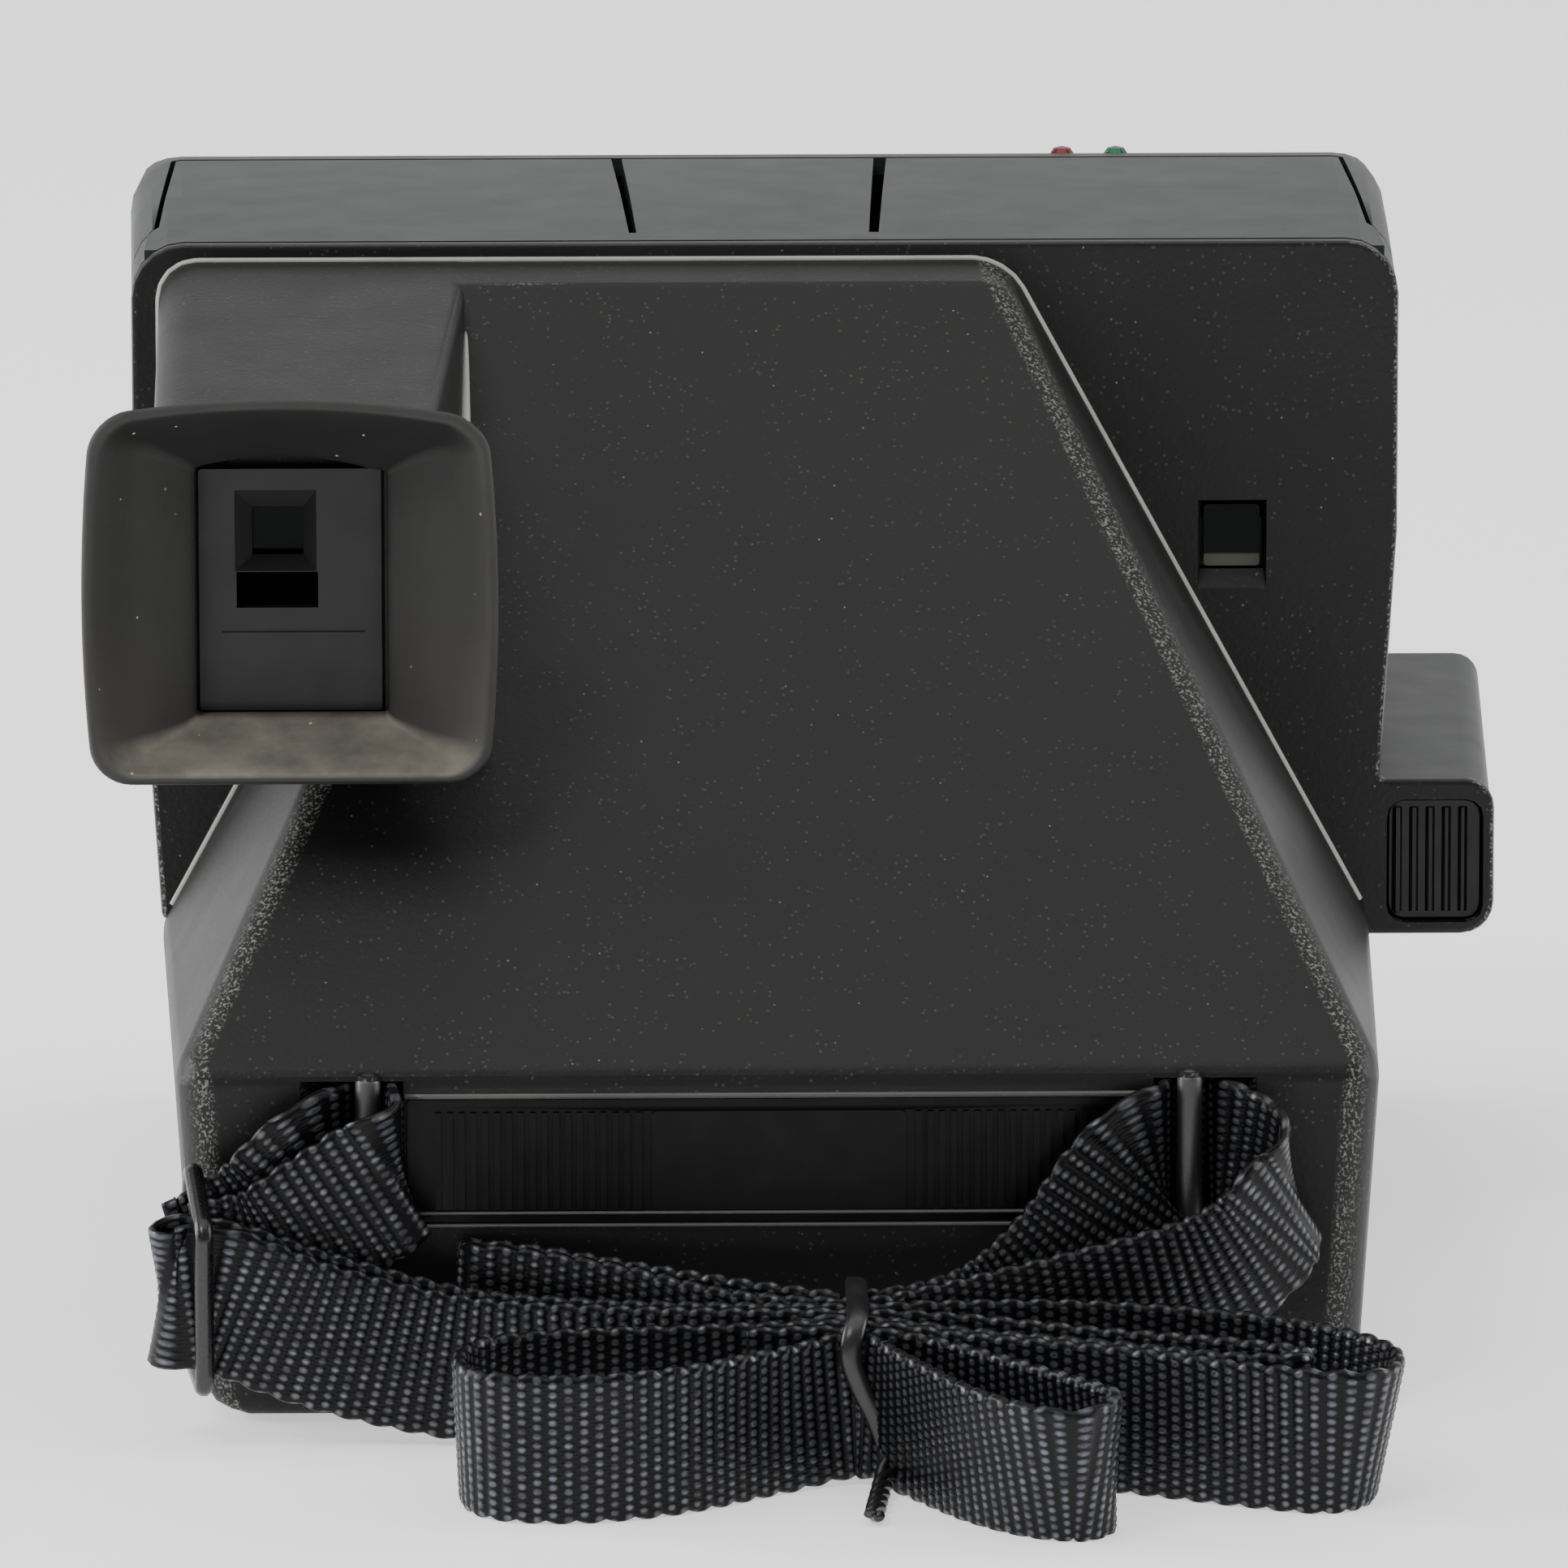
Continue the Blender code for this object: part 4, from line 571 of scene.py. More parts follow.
def catmull(points, step):
    """Points step apart along a smooth curve through the given ones, and how far on.

    Between two points the curve is a cubic, whose slope at each of them is half
    the way from the point before it to the point after it. The path's length is
    measured in its first three columns.
    """
    p = np.asarray(points, float)
    p = np.vstack([2 * p[0] - p[1], p, 2 * p[-1] - p[-2]])
    t = np.linspace(0, 1, CURVE_STEPS, endpoint=False)[:, None]
    a, b, c, d = p[:-3, None], p[1:-2, None], p[2:-1, None], p[3:, None]
    cubic = 0.5 * (2 * b + (c - a) * t + (2 * a - 5 * b + 4 * c - d) * t ** 2
                   + (3 * b - a - 3 * c + d) * t ** 3)
    dense = np.vstack([cubic.reshape(-1, p.shape[1]), p[-2]])
    gone = travelled(dense[:, :3])
    even = np.linspace(0, gone[-1], max(int(round(gone[-1] / step)), 4) + 1)
    return resampled(dense, gone, even), even


def tube(name, points, normal, across, out, closed=False, sides=24):
    """A tube with an elliptic section along a flat path, points in millimetres.

    across is its half size along the path plane's normal and out its half size
    in the plane, each in metres, and the same all along or one for each point.
    """
    p = np.asarray(points, float) * MM
    ahead = np.roll(p, -1, 0) - np.roll(p, 1, 0) if closed else np.gradient(p, axis=0)
    flat = unit(np.asarray(normal, float))
    sideways = np.cross(unit(ahead), flat)
    t = np.linspace(0, 2 * np.pi, sides, endpoint=False)[None, :, None]
    a = np.broadcast_to(np.asarray(across, float), len(p))[:, None, None]
    b = np.broadcast_to(np.asarray(out, float), len(p))[:, None, None]
    grid = p[:, None] + flat * a * np.cos(t) + sideways[:, None] * b * np.sin(t)
    return outward(surface(name, grid, close_u=closed, close_v=True, caps=not closed))


# ----------------------------------------------------------------------
# The strap
# ----------------------------------------------------------------------

ROWS_PER_RIB = 5
POINTS_PER_YARN = 4
SELVEDGE_GAP = 0.0002  # from a face's last yarn to the selvedge's curve, in metres
SELVEDGE_TURN = np.radians([60, 20, -20, -60])
PILLOW_POWER = 0.7  # the lower, the squarer a pillow's ends
PILLOW_SIDE = 0.35  # a pillow's height at its sides, as a share of its middle's
SIDE_DROP = 0.98  # how far down the half circle across it a pillow goes

# The bundle, in millimetres: where the tie holds its first layer, how far apart its
# layers are, the last one's number, and how high that and the first are raised
TIE_X, TIE_Y = 6.4, -87.0
PITCH = 1.55
LAST_LAYER = 7
LAST_RAISED = 0.6
FIRST_RAISED = 1.8
GROUND_GAP = 0.1


def section(settings):
    """The webbing's cross-section: how far each point lies across it and out of it.

    It is a flat ring: front face, selvedge, back face, selvedge. A selvedge's
    points lie on a half circle as wide as the webbing is thick. The last value is
    half the width of a face.
    """
    half = settings.thickness / 2
    inner = settings.width / 2 - half - SELVEDGE_GAP
    yarns = round(2 * inner / settings.yarn)
    face = np.linspace(-inner, inner, POINTS_PER_YARN * yarns + 1)
    edge = inner + SELVEDGE_GAP + np.cos(SELVEDGE_TURN) * half
    across = np.r_[face, edge, face[::-1], -edge]
    rise = np.r_[np.full(len(face), half), np.sin(SELVEDGE_TURN) * half]
    return across, np.r_[rise, -rise], inner


def webbing(name, points, cuts, settings):
    """Woven webbing on edge along a path, in millimetres, in one piece or more.

    A point is (x, y, z) of the webbing's middle, and how far its upper edge
    lies to +X and +Y of its lower edge. The strap is cut where it passes the
    points numbered in cuts, so that no piece grows too heavy, and the cut ends
    meet. Both faces are covered with pillows, one for each yarn that comes up:
    a pillow's height is the cosine of how far a point lies from its middle along
    the strap, as a quarter turn, to the power PILLOW_POWER, times PILLOW_SIDE
    plus the rest of one times a half circle across it. Every second rib is
    shifted half a yarn across. The selvedge swells as the size of a sine, once
    every two ribs, where the cross yarn turns.
    """
    path, s = catmull(np.asarray(points, float) * MM, settings.rib / ROWS_PER_RIB)
    spot, lean = path[:, :3], path[:, 3:]
    ahead = unit(np.gradient(spot, axis=0))
    rise = np.sqrt(settings.width ** 2 - np.sum(lean ** 2, axis=1))
    up = np.column_stack([lean, rise])
    up = unit(up - ahead * np.sum(up * ahead, axis=1)[:, None])
    side = np.cross(ahead, up)

    across, out, inner = section(settings)
    turn = s[:, None] / settings.rib
    shift = 0.5 * (np.floor(turn) % 2)
    off_rib = 2 * (turn % 1) - 1
    off_yarn = 2 * ((across / settings.yarn + shift) % 1) - 1
    crown = np.sqrt(1 - SIDE_DROP * off_yarn ** 2)
    pillow = (np.cos(np.pi / 2 * off_rib) ** PILLOW_POWER
              * (PILLOW_SIDE + (1 - PILLOW_SIDE) * crown))
    lump = np.abs(np.sin(np.pi * turn / 2))
    on_face = np.abs(across) <= inner
    edge = np.clip((np.abs(across) - inner) / (settings.thickness / 2), 0, 1)
    reach = across + settings.relief * (lump - 0.5) * edge * np.sign(across)
    out = out + np.sign(out) * settings.relief * np.where(on_face, pillow, 0.5 * lump)
    grid = (spot[:, None] + up[:, None] * reach[..., None]
            + side[:, None] * out[..., None])
    chart = np.stack(np.broadcast_arrays(s[:, None], across), -1)

    marks = np.asarray(points, float)[list(cuts), :3] * MM
    rows = [int(np.argmin(np.sum((spot - mark) ** 2, axis=1))) for mark in marks]
    rows = [0, *rows, len(s) - 1]
    made = []
    for number, (first, last) in enumerate(zip(rows, rows[1:]), 1):
        part = slice(first, last + 1)
        piece = surface(f"{name}_{number}" if cuts else name, grid[part], close_v=True,
                        caps=True, uv=("webbing", chart[part]))
        made.append((outward(piece), float(s[last] - s[first])))
    return made


def tied(layer):
    """Where a layer of the bundle is held by the tie; layer 0 is next to the body."""
    raised = FIRST_RAISED + (LAST_RAISED - FIRST_RAISED) * layer / LAST_LAYER
    return (TIE_X, TIE_Y - PITCH * layer, WEB / 2 + raised, 0, 0)


def low(x, y, raised=0.0, lean_x=0.0, lean_y=0.0):
    """A point whose lower edge lies on the ground, or is raised above it."""
    rise = math.sqrt(WEB ** 2 - lean_x ** 2 - lean_y ** 2)
    return (x + lean_x / 2, y + lean_y / 2, rise / 2 + GROUND_GAP + raised,
            lean_x, lean_y)


# The strap's runs, in millimetres: x, y, z of the webbing's middle, and how far its
# upper edge lies to +X and +Y of its lower edge
LEFT_LOOP = [
    (-52.0, -77.6, 14.6, -1.0, 0), (-49.6, -77.4, 15.4, -3.0, 0),
    (-44.6, -76.9, 18.6, -5.2, 0), (-41.7, -76.2, 21.6, -4.4, 0),
    (-40.0, -75.2, 23.2, -1.6, 0), (-38.7, -73.7, 23.75, 0, 0),
    (-37.2, -71.6, 23.75, 0, 0), (-35.6, -71.1, 23.75, 0, 0),
    (-34.1, -71.8, 23.75, 0, 0), (-33.7, -73.4, 23.75, 0, 0),
    (-33.5, -75.2, 23.7, -0.2, 0), (-33.3, -76.8, 23.3, -1.2, 0),
    (-34.2, -77.9, 22.4, -3.2, 0), (-36.6, -78.2, 20.9, -5.2, 0),
    (-40.3, -78.4, 18.5, -5.4, 0), (-44.8, -78.9, 15.8, -3.6, 0),
    (-50.4, -79.2, 14.8, -2.0, 0)]

REAR_FOLD = [
    tied(0), (13.8, -84.2, 8.6, -3.5, 0), (19.8, -80.8, 10.4, -7.0, 0),
    (25.6, -78.4, 15.2, -8.0, 0), (29.4, -77.0, 20.4, -6.0, 0),
    (31.4, -76.0, 22.9, -2.0, 0), (32.8, -74.8, 23.7, -0.2, 0),
    (33.7, -73.1, 23.8, 0, 0),
    (34.6, -71.5, 23.8, 0, 0), (36.2, -70.9, 23.8, 0, 0),
    (37.8, -71.6, 23.8, 0, 0), (39.2, -73.4, 23.8, 0, 0),
    (41.7, -75.4, 23.2, -1.8, -0.4),
    (43.8, -77.3, 22.2, -3.2, -2.0), (44.3, -78.8, 21.0, -4.0, -3.4),
    (43.2, -80.3, 19.3, -4.4, -4.3), (40.6, -81.3, 16.5, -4.0, -4.5),
    (36.1, -82.2, 14.0, -3.4, -3.5), (28.3, -83.8, 11.7, -3.0, -1.5),
    (19.6, -84.9, 9.6, -2.4, 0), (12.4, -86.7, 8.4, -1.2, 0), tied(1),
    low(-4.0, -85.9, 1.6), low(-14.0, -80.8, 2.8),
    low(-23.0, -77.6, 3.6, 0.6), low(-27.4, -76.8, 3.8, 1.3),
    low(-28.6, -75.6, 3.8, 1.3), low(-26.8, -74.4, 3.8, 1.0),
    low(-20.0, -75.4, 3.2), low(-10.0, -79.8, 2.4),
    low(-2.0, -84.0, 2.0), (TIE_X - 1.6, -86.9, tied(0)[2], 0, 0)]

FRONT_FOLD = [
    low(-3.0, -95.6, 0.4), tied(6), low(13.0, -98.8, 0.2),
    low(20.0, -104.4, 0, 0, -2.0), low(25.6, -111.0, 0, 0, -3.0),
    low(27.0, -116.0, 0, 0.5, -3.0), low(24.6, -119.2, 0, 0, -4.0),
    low(20.2, -117.4, 0, 0, -4.0), low(15.4, -111.6, 0, 0, -3.5),
    low(10.3, -102.2, 0, 0, -1.6), tied(7), low(0.0, -101.2),
    low(-9.0, -108.8), low(-17.8, -112.0),
    low(-24.8, -110.4, 0, -0.6), low(-27.2, -104.6, 0, -0.6),
    low(-25.6, -97.4, 0, -0.4), low(-19.0, -94.1),
    low(-8.0, -93.5, 0.2), tied(5), low(16.0, -97.0, 0.2),
    low(28.0, -101.4), low(38.0, -106.6, 0, 0.5, -1.0),
    low(45.2, -109.6, 0, 1.4, -1.5), low(49.0, -107.4, 0, 2.3, -1.5),
    low(49.9, -101.0, 0, 2.3, -0.5), low(46.8, -94.4, 0, 1.2),
    low(40.0, -89.4, 0.2), low(26.0, -87.0, 0.8),
    low(14.0, -88.6, 1.2), tied(2), low(-6.0, -87.1, 0.8),
    low(-18.0, -83.0, 0.4), low(-28.0, -80.8, 0.9),
    (-40.0, -80.6, 10.4, -2.0, 0), (-48.6, -81.1, 13.4, -1.5, 0),
    (-52.4, -81.0, 13.9, 0, 0), (-53.4, -81.8, 13.6, 0, 0),
    (-52.4, -82.6, 13.2, 0, 0), (-48.6, -82.6, 13.1, -1.2, 0),
    (-40.0, -82.4, 9.8, -2.0, 0), low(-28.0, -82.4, 0.5),
    low(-16.0, -85.6, 0.3), low(-4.0, -89.5, 0.8), tied(3),
    low(16.0, -91.4, 0.6), low(28.0, -94.6), low(37.0, -98.0),
    low(42.6, -101.2, 0, 0.6), low(44.0, -103.4, 0, 0.6),
    low(42.4, -105.0, 0, 0.6), low(37.0, -103.9),
    low(28.0, -99.4), low(16.0, -95.0, 0.2), tied(4),
    low(2.0, -92.6, 0.6)]

# Each run, and the numbers of the points where it is cut
RUNS = {"left_loop": (LEFT_LOOP, ()), "rear_fold": (REAR_FOLD, (21,)),
        "front_fold": (FRONT_FOLD, (10, 19, 30, 44))}

# The wire tie, in millimetres: a band round the bundle, and two ends twisted
# together with a turn every TWIST, each TWIST_RADIUS from the tail's middle
TIE_BAND = [
    (6.4, -85.5, 8.0), (6.5, -85.7, 2.0), (6.9, -88.5, 0.62), (8.0, -95.0, 0.62),
    (8.8, -98.6, 1.2), (8.9, -99.4, 3.2), (7.9, -99.4, 6.0), (6.6, -99.3, 8.6),
    (5.7, -99.2, 11.2), (5.9, -98.8, 13.2), (6.3, -97.3, 14.4), (6.4, -93.0, 15.0),
    (6.4, -88.0, 15.4), (6.4, -86.0, 14.3), (6.4, -85.5, 8.0)]
TIE_TAIL = [
    (8.8, -99.6, 3.4), (8.8, -100.5, 2.3), (8.5, -102.0, 1.5), (8.1, -105.5, 1.05),
    (7.7, -110.0, 1.0), (7.4, -113.6, 1.0)]
TWIST = 5.0
TWIST_RADIUS = 0.42
BAND_STEP, TAIL_STEP = 0.4, 0.3


# ----------------------------------------------------------------------
# Trim and eyecup, in millimetres
# ----------------------------------------------------------------------

REAR_FACE = -73.0
PLATE_FACE = -2.1

# Where the shell rises from its rear plate, X and Z
FILLETS = {
    "fillet_upper": [(54.6, 32.6), (23.44, 89.58), (22.62, 90.68), (21.51, 91.54),
                     (20.3, 92.09), (19.04, 92.3), (-51.93, 92.32), (-53.24, 92.06),
                     (-54.34, 91.32), (-55.08, 90.22), (-55.33, 88.9), (-55.33, 60.5)],
    "fillet_lower": [(-41.6, 56.6), (-54.6, 32.6)],
}
FILLET_RADIUS = 0.34
FILLET_SUNK = 0.1  # how far its middle is let into the plate
FILLET_STEP = 0.5
# Where the finder housing's right wall stands on the slope, and the fillet's radius
# there: at first, and how much more at last
WALL_FOOT = [(-27.3, -13.6, 87.5), (-27.4, -20.0, 81.4), (-27.5, -28.0, 73.8),
             (-27.2, -32.0, 70.0)]
WALL_FIRST, WALL_MORE = 0.05, 0.8

# Lines round the grip panel: left end, right end, height and half thickness
GRIP_LINES = {"grip_lip": (-32.6, 32.6, 29.0, 0.26),
              "grip_line_high": (-32.2, 32.2, 18.6, 0.14),
              "grip_line_low": (-32.6, 32.6, 17.5, 0.17)}
LINE_RISE = 0.3  # half the depth of a line
LINE_BEHIND = 0.02  # how far its middle stands behind the rear face
LINE_POINTS = 40

# Sleeves on the strap bars: where each stands, its ends and its radius
LUGS = {"lug_pin_left": -35.8, "lug_pin_right": 35.8}
LUG_FOOT, LUG_HEAD, LUG_RADIUS = 15.6, 31.2, 1.15
LUG_BEHIND = 0.45  # how far its middle stands behind the rear face
END_POINTS = 7  # on the quarter circle that closes an end

# The eyecup's rings: half width, foot, head, corner radius, depth, bow of the head
# and bulge of the sides
CUP_X = -42.5
SEAT = -50.3
RINGS = [
    (11.4, 57.3, 84.1, 2.6, SEAT, 0, 0), (12.4, 56.9, 84.5, 2.8, SEAT - 2.0, 0, 0),
    (16.0, 55.2, 86.2, 3.2, SEAT - 7.0, 1.0, 0.6),
    (17.2, 54.5, 86.9, 3.3, SEAT - 9.9, 1.5, 0.9),
    (17.3, 54.5, 86.9, 3.3, SEAT - 10.5, 1.6, 0.9),
    (16.9, 54.9, 86.5, 3.1, SEAT - 10.8, 1.6, 0.9),
    (16.2, 55.5, 85.9, 2.8, SEAT - 10.4, 1.6, 0.9),
    (13.9, 56.7, 84.2, 1.5, SEAT - 7.0, 1.5, 0.5),
    (11.0, 57.8, 82.6, 0.8, SEAT - 4.4, 1.4, 0.2),
    (9.0, 58.6, 81.3, 0.5, SEAT - 2.6, 1.4, 0),
    (8.4, 59.1, 80.8, 0.4, SEAT - 1.6, 1.3, 0), (8.4, 59.1, 80.8, 0.4, SEAT, 1.3, 0)]
RING_STEP = 0.45
BOW_X = -1.0  # how far the bow's crown lies from the cup's middle
CORNER_POINTS = 9
SIDE_POINTS = 13  # between two corners


# ----------------------------------------------------------------------
# Operators
# ----------------------------------------------------------------------

# The camera and the soft lights, in metres. A light is a place, the point it faces
# and its width and height; its power is the setting of the same name.
CAMERA_PLACE = (-0.0190, -1.2873, 0.2779)
CAMERA_TARGET = (0.00114, -0.033, 0.04926)
CAMERA_ROLL = math.radians(-0.09)
LIGHTS = {
    "overhead": ((0.0, -0.1, 1.3), (0, -0.1, 0), (2.0, 1.6)),
    "back": ((0.0, 1.7, 0.75), (0, 0, 0.05), (3.4, 1.4)),
    "left": ((-1.4, 0.25, 0.5), (0, 0, 0.05), (1.2, 0.9)),
    "right": ((1.4, 0.25, 0.5), (0, 0, 0.05), (1.2, 0.9)),
    "key": ((-0.55, -0.9, 1.2), (0, -0.05, 0.05), (0.4, 0.4)),
}
FLOOR_REACH = 4.0


class BuildStage(bpy.types.Operator):
    """Adds the pale floor, the soft lights and the camera"""
    bl_idname = "instant_camera.stage"
    bl_label = "Stage"

    def execute(self, context):
        settings = context.scene.camera_stage
        lens = bpy.data.cameras.new("view")
        lens.lens = settings.focal / MM
        lens.sensor_width = 36.0
        lens.clip_end = 20.0
        camera = self.placed("view", lens, CAMERA_PLACE, CAMERA_TARGET, context)
        camera.rotation_euler.rotate_axis("Z", CAMERA_ROLL)
        context.scene.camera = camera
        self.floor(settings)
        for name, (place, target, size) in LIGHTS.items():
            lamp = bpy.data.lights.new(name, "AREA")
            lamp.shape = "RECTANGLE"
            lamp.size, lamp.size_y = size
            lamp.energy = getattr(settings, name)
            self.placed(name, lamp, place, target, context)
        world = bpy.data.worlds.new("studio")
        world.use_nodes = True
        room = world.node_tree.nodes["Background"]
        room.inputs["Color"].default_value = (1, 1, 1, 1)
        room.inputs["Strength"].default_value = settings.surround
        context.scene.world = world
        return {"FINISHED"}

    def placed(self, name, data, place, target, context):
        """A camera or a light put in its place, facing a point."""
        obj = bpy.data.objects.new(name, data)
        obj.location = place
        aim = Vector(target) - Vector(place)
        obj.rotation_euler = aim.to_track_quat("-Z", "Y").to_euler()
        context.scene.collection.objects.link(obj)
        return obj

    def floor(self, settings):
        """A flat floor that runs well past the camera's view on every side."""
        reach = np.linspace(-FLOOR_REACH, FLOOR_REACH, 3)
        x, y = np.meshgrid(reach, reach)
        floor = surface("floor", np.stack([x, y, 0 * x], -1))
        finish = Finish("floor_paint", settings.floor, 0.75,
                        Emission_Strength=settings.glow, Emission_Color=(1, 1, 1, 1))
        paint = finish.use(Roughness=finish.drift(0.3, 2, 0.7, 0.8))
        floor.data.materials.append(paint)


class BuildStrap(bpy.types.Operator):
    """Lays the folded webbing, with its buckle and wire tie"""
    bl_idname = "instant_camera.strap"
    bl_label = "Neck strap"

    def execute(self, context):
        settings = context.scene.camera_strap
        for name, (points, cuts) in RUNS.items():
            for piece, run in webbing("webbing_" + name, points, cuts, settings):
                finished(piece, "camera", "webbing", ["strap_" + name], context)
        moulding("strap_slider", "buckle", context, angle=50)
        self.tie(settings, context)
        return {"FINISHED"}

    def tie(self, settings, context):
        """The wire tie: a flattened loop round the bundle, and two twisted ends.

        An end's path is the tail's curve plus a circle in X and Z, whose angle grows
        by one turn every TWIST; the second end is half a turn ahead.
        """
        wide, thick = settings.tie_width / 2, settings.tie_thickness / 2
        band, _ = catmull(TIE_BAND, BAND_STEP)
        pieces = [tube("tie_band", band[:-1], (1, 0, 0), wide, thick, closed=True)]
        tail, run = catmull(TIE_TAIL, TAIL_STEP)
        for number, lead in enumerate((0, np.pi)):
            angle = 2 * np.pi * run / TWIST + lead
            circle = np.stack([np.cos(angle), 0 * angle, np.sin(angle)], -1)
            pieces.append(tube(f"tie_end_{number}", tail + TWIST_RADIUS * circle,
                               (1, 0, 0), thick, thick, sides=12))
        for piece in pieces:
            finished(piece, "camera", "tie", ["strap_tie"], context)


class BuildShells(bpy.types.Operator):
    """Finishes the moulded shells of the body, with their fillets, lines and sleeves"""
    bl_idname = "instant_camera.shells"
    bl_label = "Body shells"

    def execute(self, context):
        moulding("rear_shell", "grained", context,
                 round_edge=context.scene.camera_shell.rounding)
        moulding("base_tray", "grained", context, angle=34)
        mouldings(context, front_housing="satin", grip_panel="gloss",
                  front_panel="gloss")
        for number in range(1, 5):
            moulding(f"base_screw_{number}", "steel", context, angle=34)
        for name, x in LUGS.items():
            finished(self.lug(name, x), "camera", "lug", [], context)
        for name, outline in FILLETS.items():
            finished(self.fillet(name, outline), "camera", "fillet", [], context)
        finished(self.wall_foot(), "camera", "fillet", [], context)
        for name, line in GRIP_LINES.items():
            finished(self.line(name, *line), "camera", "trim", [], context)
        return {"FINISHED"}

    def lug(self, name, x):
        """A steel sleeve on a strap bar: a round rod whose ends close as half circles.

        Over the last radius at each end, the rod's own radius falls to nothing as
        a circle's does.
        """
        t = np.linspace(0, np.pi / 2, END_POINTS)
        z = np.r_[LUG_FOOT + LUG_RADIUS * (1 - np.cos(t)),
                  LUG_HEAD - LUG_RADIUS * (1 - np.sin(t))[1:]][1:-1]
        radius = (LUG_RADIUS * np.r_[np.sin(t), np.cos(t)[1:]])[1:-1] * MM
        path = np.column_stack([0 * z + x, 0 * z + REAR_FACE - LUG_BEHIND, z])
        return tube(name, path, (1, 0, 0), radius, radius)

    def fillet(self, name, outline):
        """A glossy rod let into the corner where the shell rises from its plate."""
        corners = np.asarray(outline, float)
        gone = travelled(corners)
        places = np.linspace(0, gone[-1], int(gone[-1] / FILLET_STEP))
        x, z = resampled(corners, gone, places).T
        # Painted highlight: the rod's pale finish stands in for light on the concave
        # corner
        path = np.stack([x, 0 * x + PLATE_FACE - FILLET_SUNK, z], -1)
        radius = FILLET_RADIUS * MM
        return tube(name, path, (0, 1, 0), radius, radius, sides=12)

    def wall_foot(self):
        """The glossy fillet at the foot of the finder housing's right wall.

        Its radius grows as the square root of the way along it.
        """
        path, run = catmull(WALL_FOOT, FILLET_STEP)
        # Painted highlight: this pale rod stands in for light on the wall's concave
        # foot
        radius = (WALL_FIRST + WALL_MORE * np.sqrt(run / run[-1])) * MM
        return tube("fillet_wall", path, (1, 0, 0), radius, radius, sides=16)

    def line(self, name, left, right, z, half):
        """A straight glossy line on the rear face, from left to right."""
        x = np.linspace(left, right, LINE_POINTS)
        path = np.stack([x, 0 * x + REAR_FACE - LINE_BEHIND, 0 * x + z], -1)
        return tube(name, path, (0, 0, 1), half * MM, LINE_RISE * MM, sides=12)


class BuildEyecup(bpy.types.Operator):
    """Finishes the rubber eyecup and the eyepiece inside it"""
    bl_idname = "instant_camera.eyecup"
    bl_label = "Eyecup"

    def execute(self, context):
        finished(self.cup(), "camera", "rubber", ["eyecup"], context)
        moulding("eyepiece_frame", "frame", context, angle=10)
        moulding("eyepiece_lens", "dark", context)
        return {"FINISHED"}

    def cup(self):
        """The eyecup: rounded-square rings carried out to the lip and back in.

        A ring's sizes run along a smooth curve through RINGS. Round a ring, four
        quarter circles of the corner radius are joined by straight sides. Above
        half of its half height it is bowed up, by 1 less the square of how far a
        point lies from the bow's crown, as a share of the half width. Beyond half
        of its half width it bulges outwards, by 1 less the square of the height
        above its middle, as a share of the half height.
        """
        fine, _ = catmull(RINGS, RING_STEP)
        half_x, foot, head, radius, depth, bow, bulge = fine.T[:, :, None]
        middle, half_z = (foot + head) / 2, (head - foot) / 2
        turn = np.linspace(0, np.pi / 2, CORNER_POINTS)
        turn = np.concatenate([turn + k * np.pi / 2 for k in range(4)])
        right = np.repeat([1.0, -1.0, -1.0, 1.0], CORNER_POINTS)
        above = np.repeat([1.0, 1.0, -1.0, -1.0], CORNER_POINTS)
        x = self.ring(right * (half_x - radius) + radius * np.cos(turn))
        z = self.ring(above * (half_z - radius) + radius * np.sin(turn))
        from_crown = (x - BOW_X) / half_x
        lift = np.where(z > 0.5 * half_z, bow * np.clip(1 - from_crown ** 2, 0, 1), 0)
        belly = np.where(np.abs(x) > 0.5 * half_x,
                         bulge * np.clip(1 - (z / half_z) ** 2, 0, 1), 0)
        grid = np.stack([CUP_X + x + np.sign(x) * belly, depth + 0 * x,
                         middle + z + lift], -1) * MM
        return outward(surface("eyecup_rubber", grid, close_u=True, close_v=True))

    def ring(self, corners):
        """Rings with four corners each, with the points of a side after each corner.

        A side runs evenly from a corner's last point to the next one's first.
        """
        arcs = corners.reshape(len(corners), 4, CORNER_POINTS)
        start, end = arcs[..., -1:], np.roll(arcs, -1, axis=1)[..., :1]
        share = np.linspace(0, 1, SIDE_POINTS + 2)[1:-1]
        sides = start * (1 - share) + end * share
        return np.concatenate([arcs, sides], -1).reshape(len(corners), -1)


class BuildOptics(bpy.types.Operator):
    """Finishes the lenses, windows, mirror and counter"""
    bl_idname = "instant_camera.optics"
    bl_label = "Optics"

    def execute(self, context):
        mouldings(context, lens_ring="gloss", taking_lens="lens", shutter_case="gloss",
                  light_cone="gloss", mirror="mirror", finder_window="clear",
                  cell_lens="lens", counter_window="pane", counter_wheel="dial")
        return {"FINISHED"}


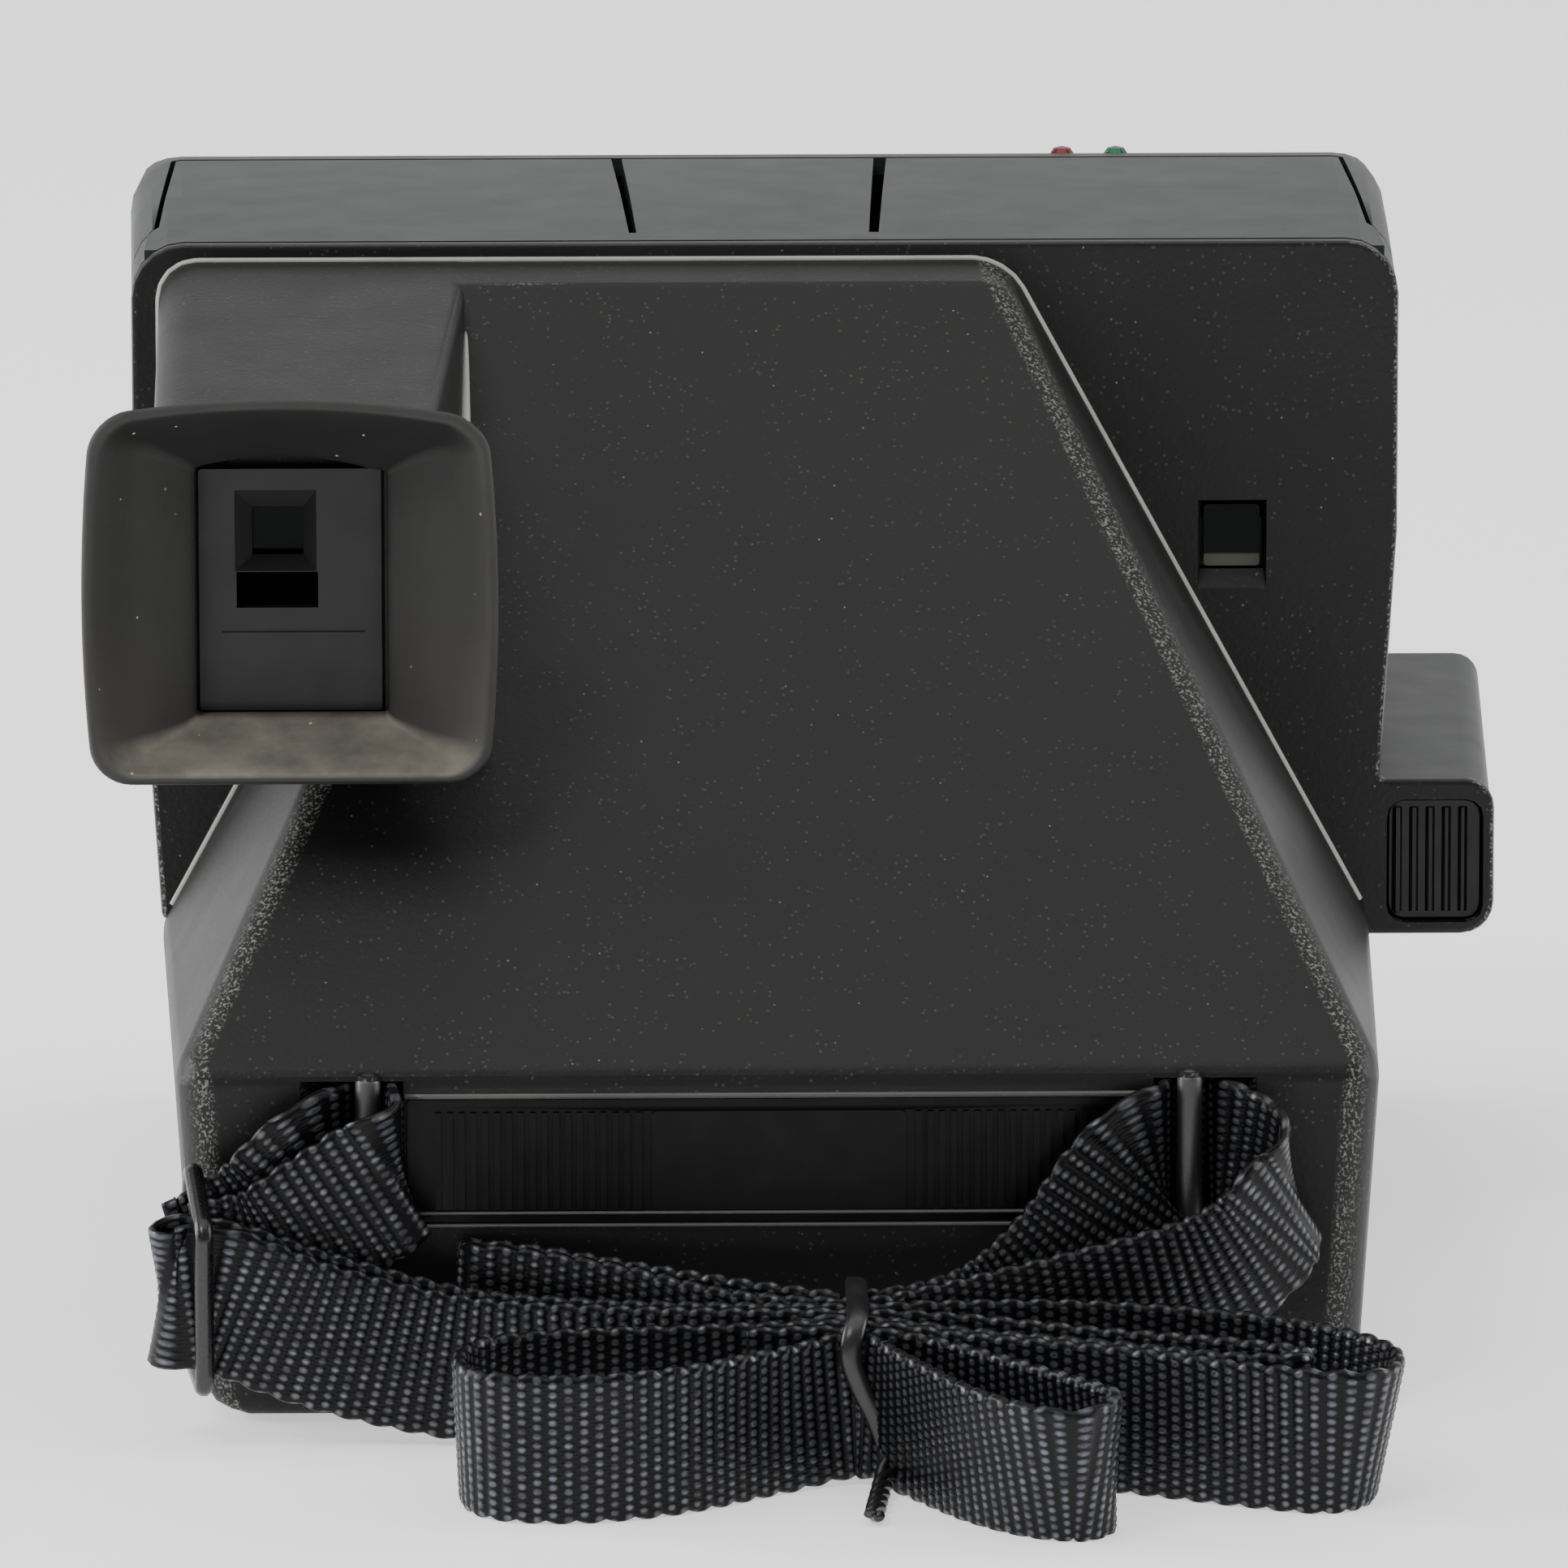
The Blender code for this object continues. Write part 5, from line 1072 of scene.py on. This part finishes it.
class BuildFlash(bpy.types.Operator):
    """Finishes the flip-up flash unit"""
    bl_idname = "instant_camera.flash"
    bl_label = "Flash unit"

    def execute(self, context):
        mouldings(context, flash_shell="satin", flash_window="clear",
                  flash_reflector="mirror", flash_tube="clear", ready_lamp_red="red",
                  ready_lamp_green="green", arm_pin_left="steel", arm_pin_right="steel")
        return {"FINISHED"}


class BuildControls(bpy.types.Operator):
    """Finishes the button, latch, slider, film door and rollers"""
    bl_idname = "instant_camera.controls"
    bl_label = "Controls and film door"

    def execute(self, context):
        mouldings(context, shutter_button="button", door_latch="latch",
                  exposure_slider="button", film_door="satin", door_pin_left="steel",
                  door_pin_right="steel", upper_roller="steel", lower_roller="steel",
                  roller_bracket="steel")
        return {"FINISHED"}


OPERATORS = (BuildStage, BuildStrap, BuildShells, BuildEyecup, BuildOptics, BuildFlash,
             BuildControls)
GROUPS = {"camera_shell": ShellSettings, "camera_eyecup": EyecupSettings,
          "camera_fittings": FittingSettings, "camera_strap": StrapSettings,
          "camera_stage": StageSettings}


class CameraPanel(bpy.types.Panel):
    """Sizes, colours and build steps of the camera"""
    bl_idname = "VIEW3D_PT_instant_camera"
    bl_label = "Instant camera"
    bl_space_type = "VIEW_3D"
    bl_region_type = "UI"
    bl_category = "Camera"

    def draw(self, context):
        for name, group in GROUPS.items():
            box = self.layout.box()
            box.label(text=group.__doc__)
            for field in group.__annotations__:
                box.prop(getattr(context.scene, name), field)
        for operator in OPERATORS:
            self.layout.operator(operator.bl_idname)


def register():
    for name, group in GROUPS.items():
        bpy.utils.register_class(group)
        setattr(bpy.types.Scene, name, PointerProperty(type=group))
    for cls in (*OPERATORS, CameraPanel):
        bpy.utils.register_class(cls)


def unregister():
    for cls in (CameraPanel, *reversed(OPERATORS)):
        bpy.utils.unregister_class(cls)
    for name, group in reversed(GROUPS.items()):
        delattr(bpy.types.Scene, name)
        bpy.utils.unregister_class(group)


def main():
    """Registers the classes and builds the pieces in order."""
    register()
    for operator in OPERATORS:
        group, name = operator.bl_idname.split(".")
        getattr(getattr(bpy.ops, group), name)()


if __name__ == "__main__":
    main()
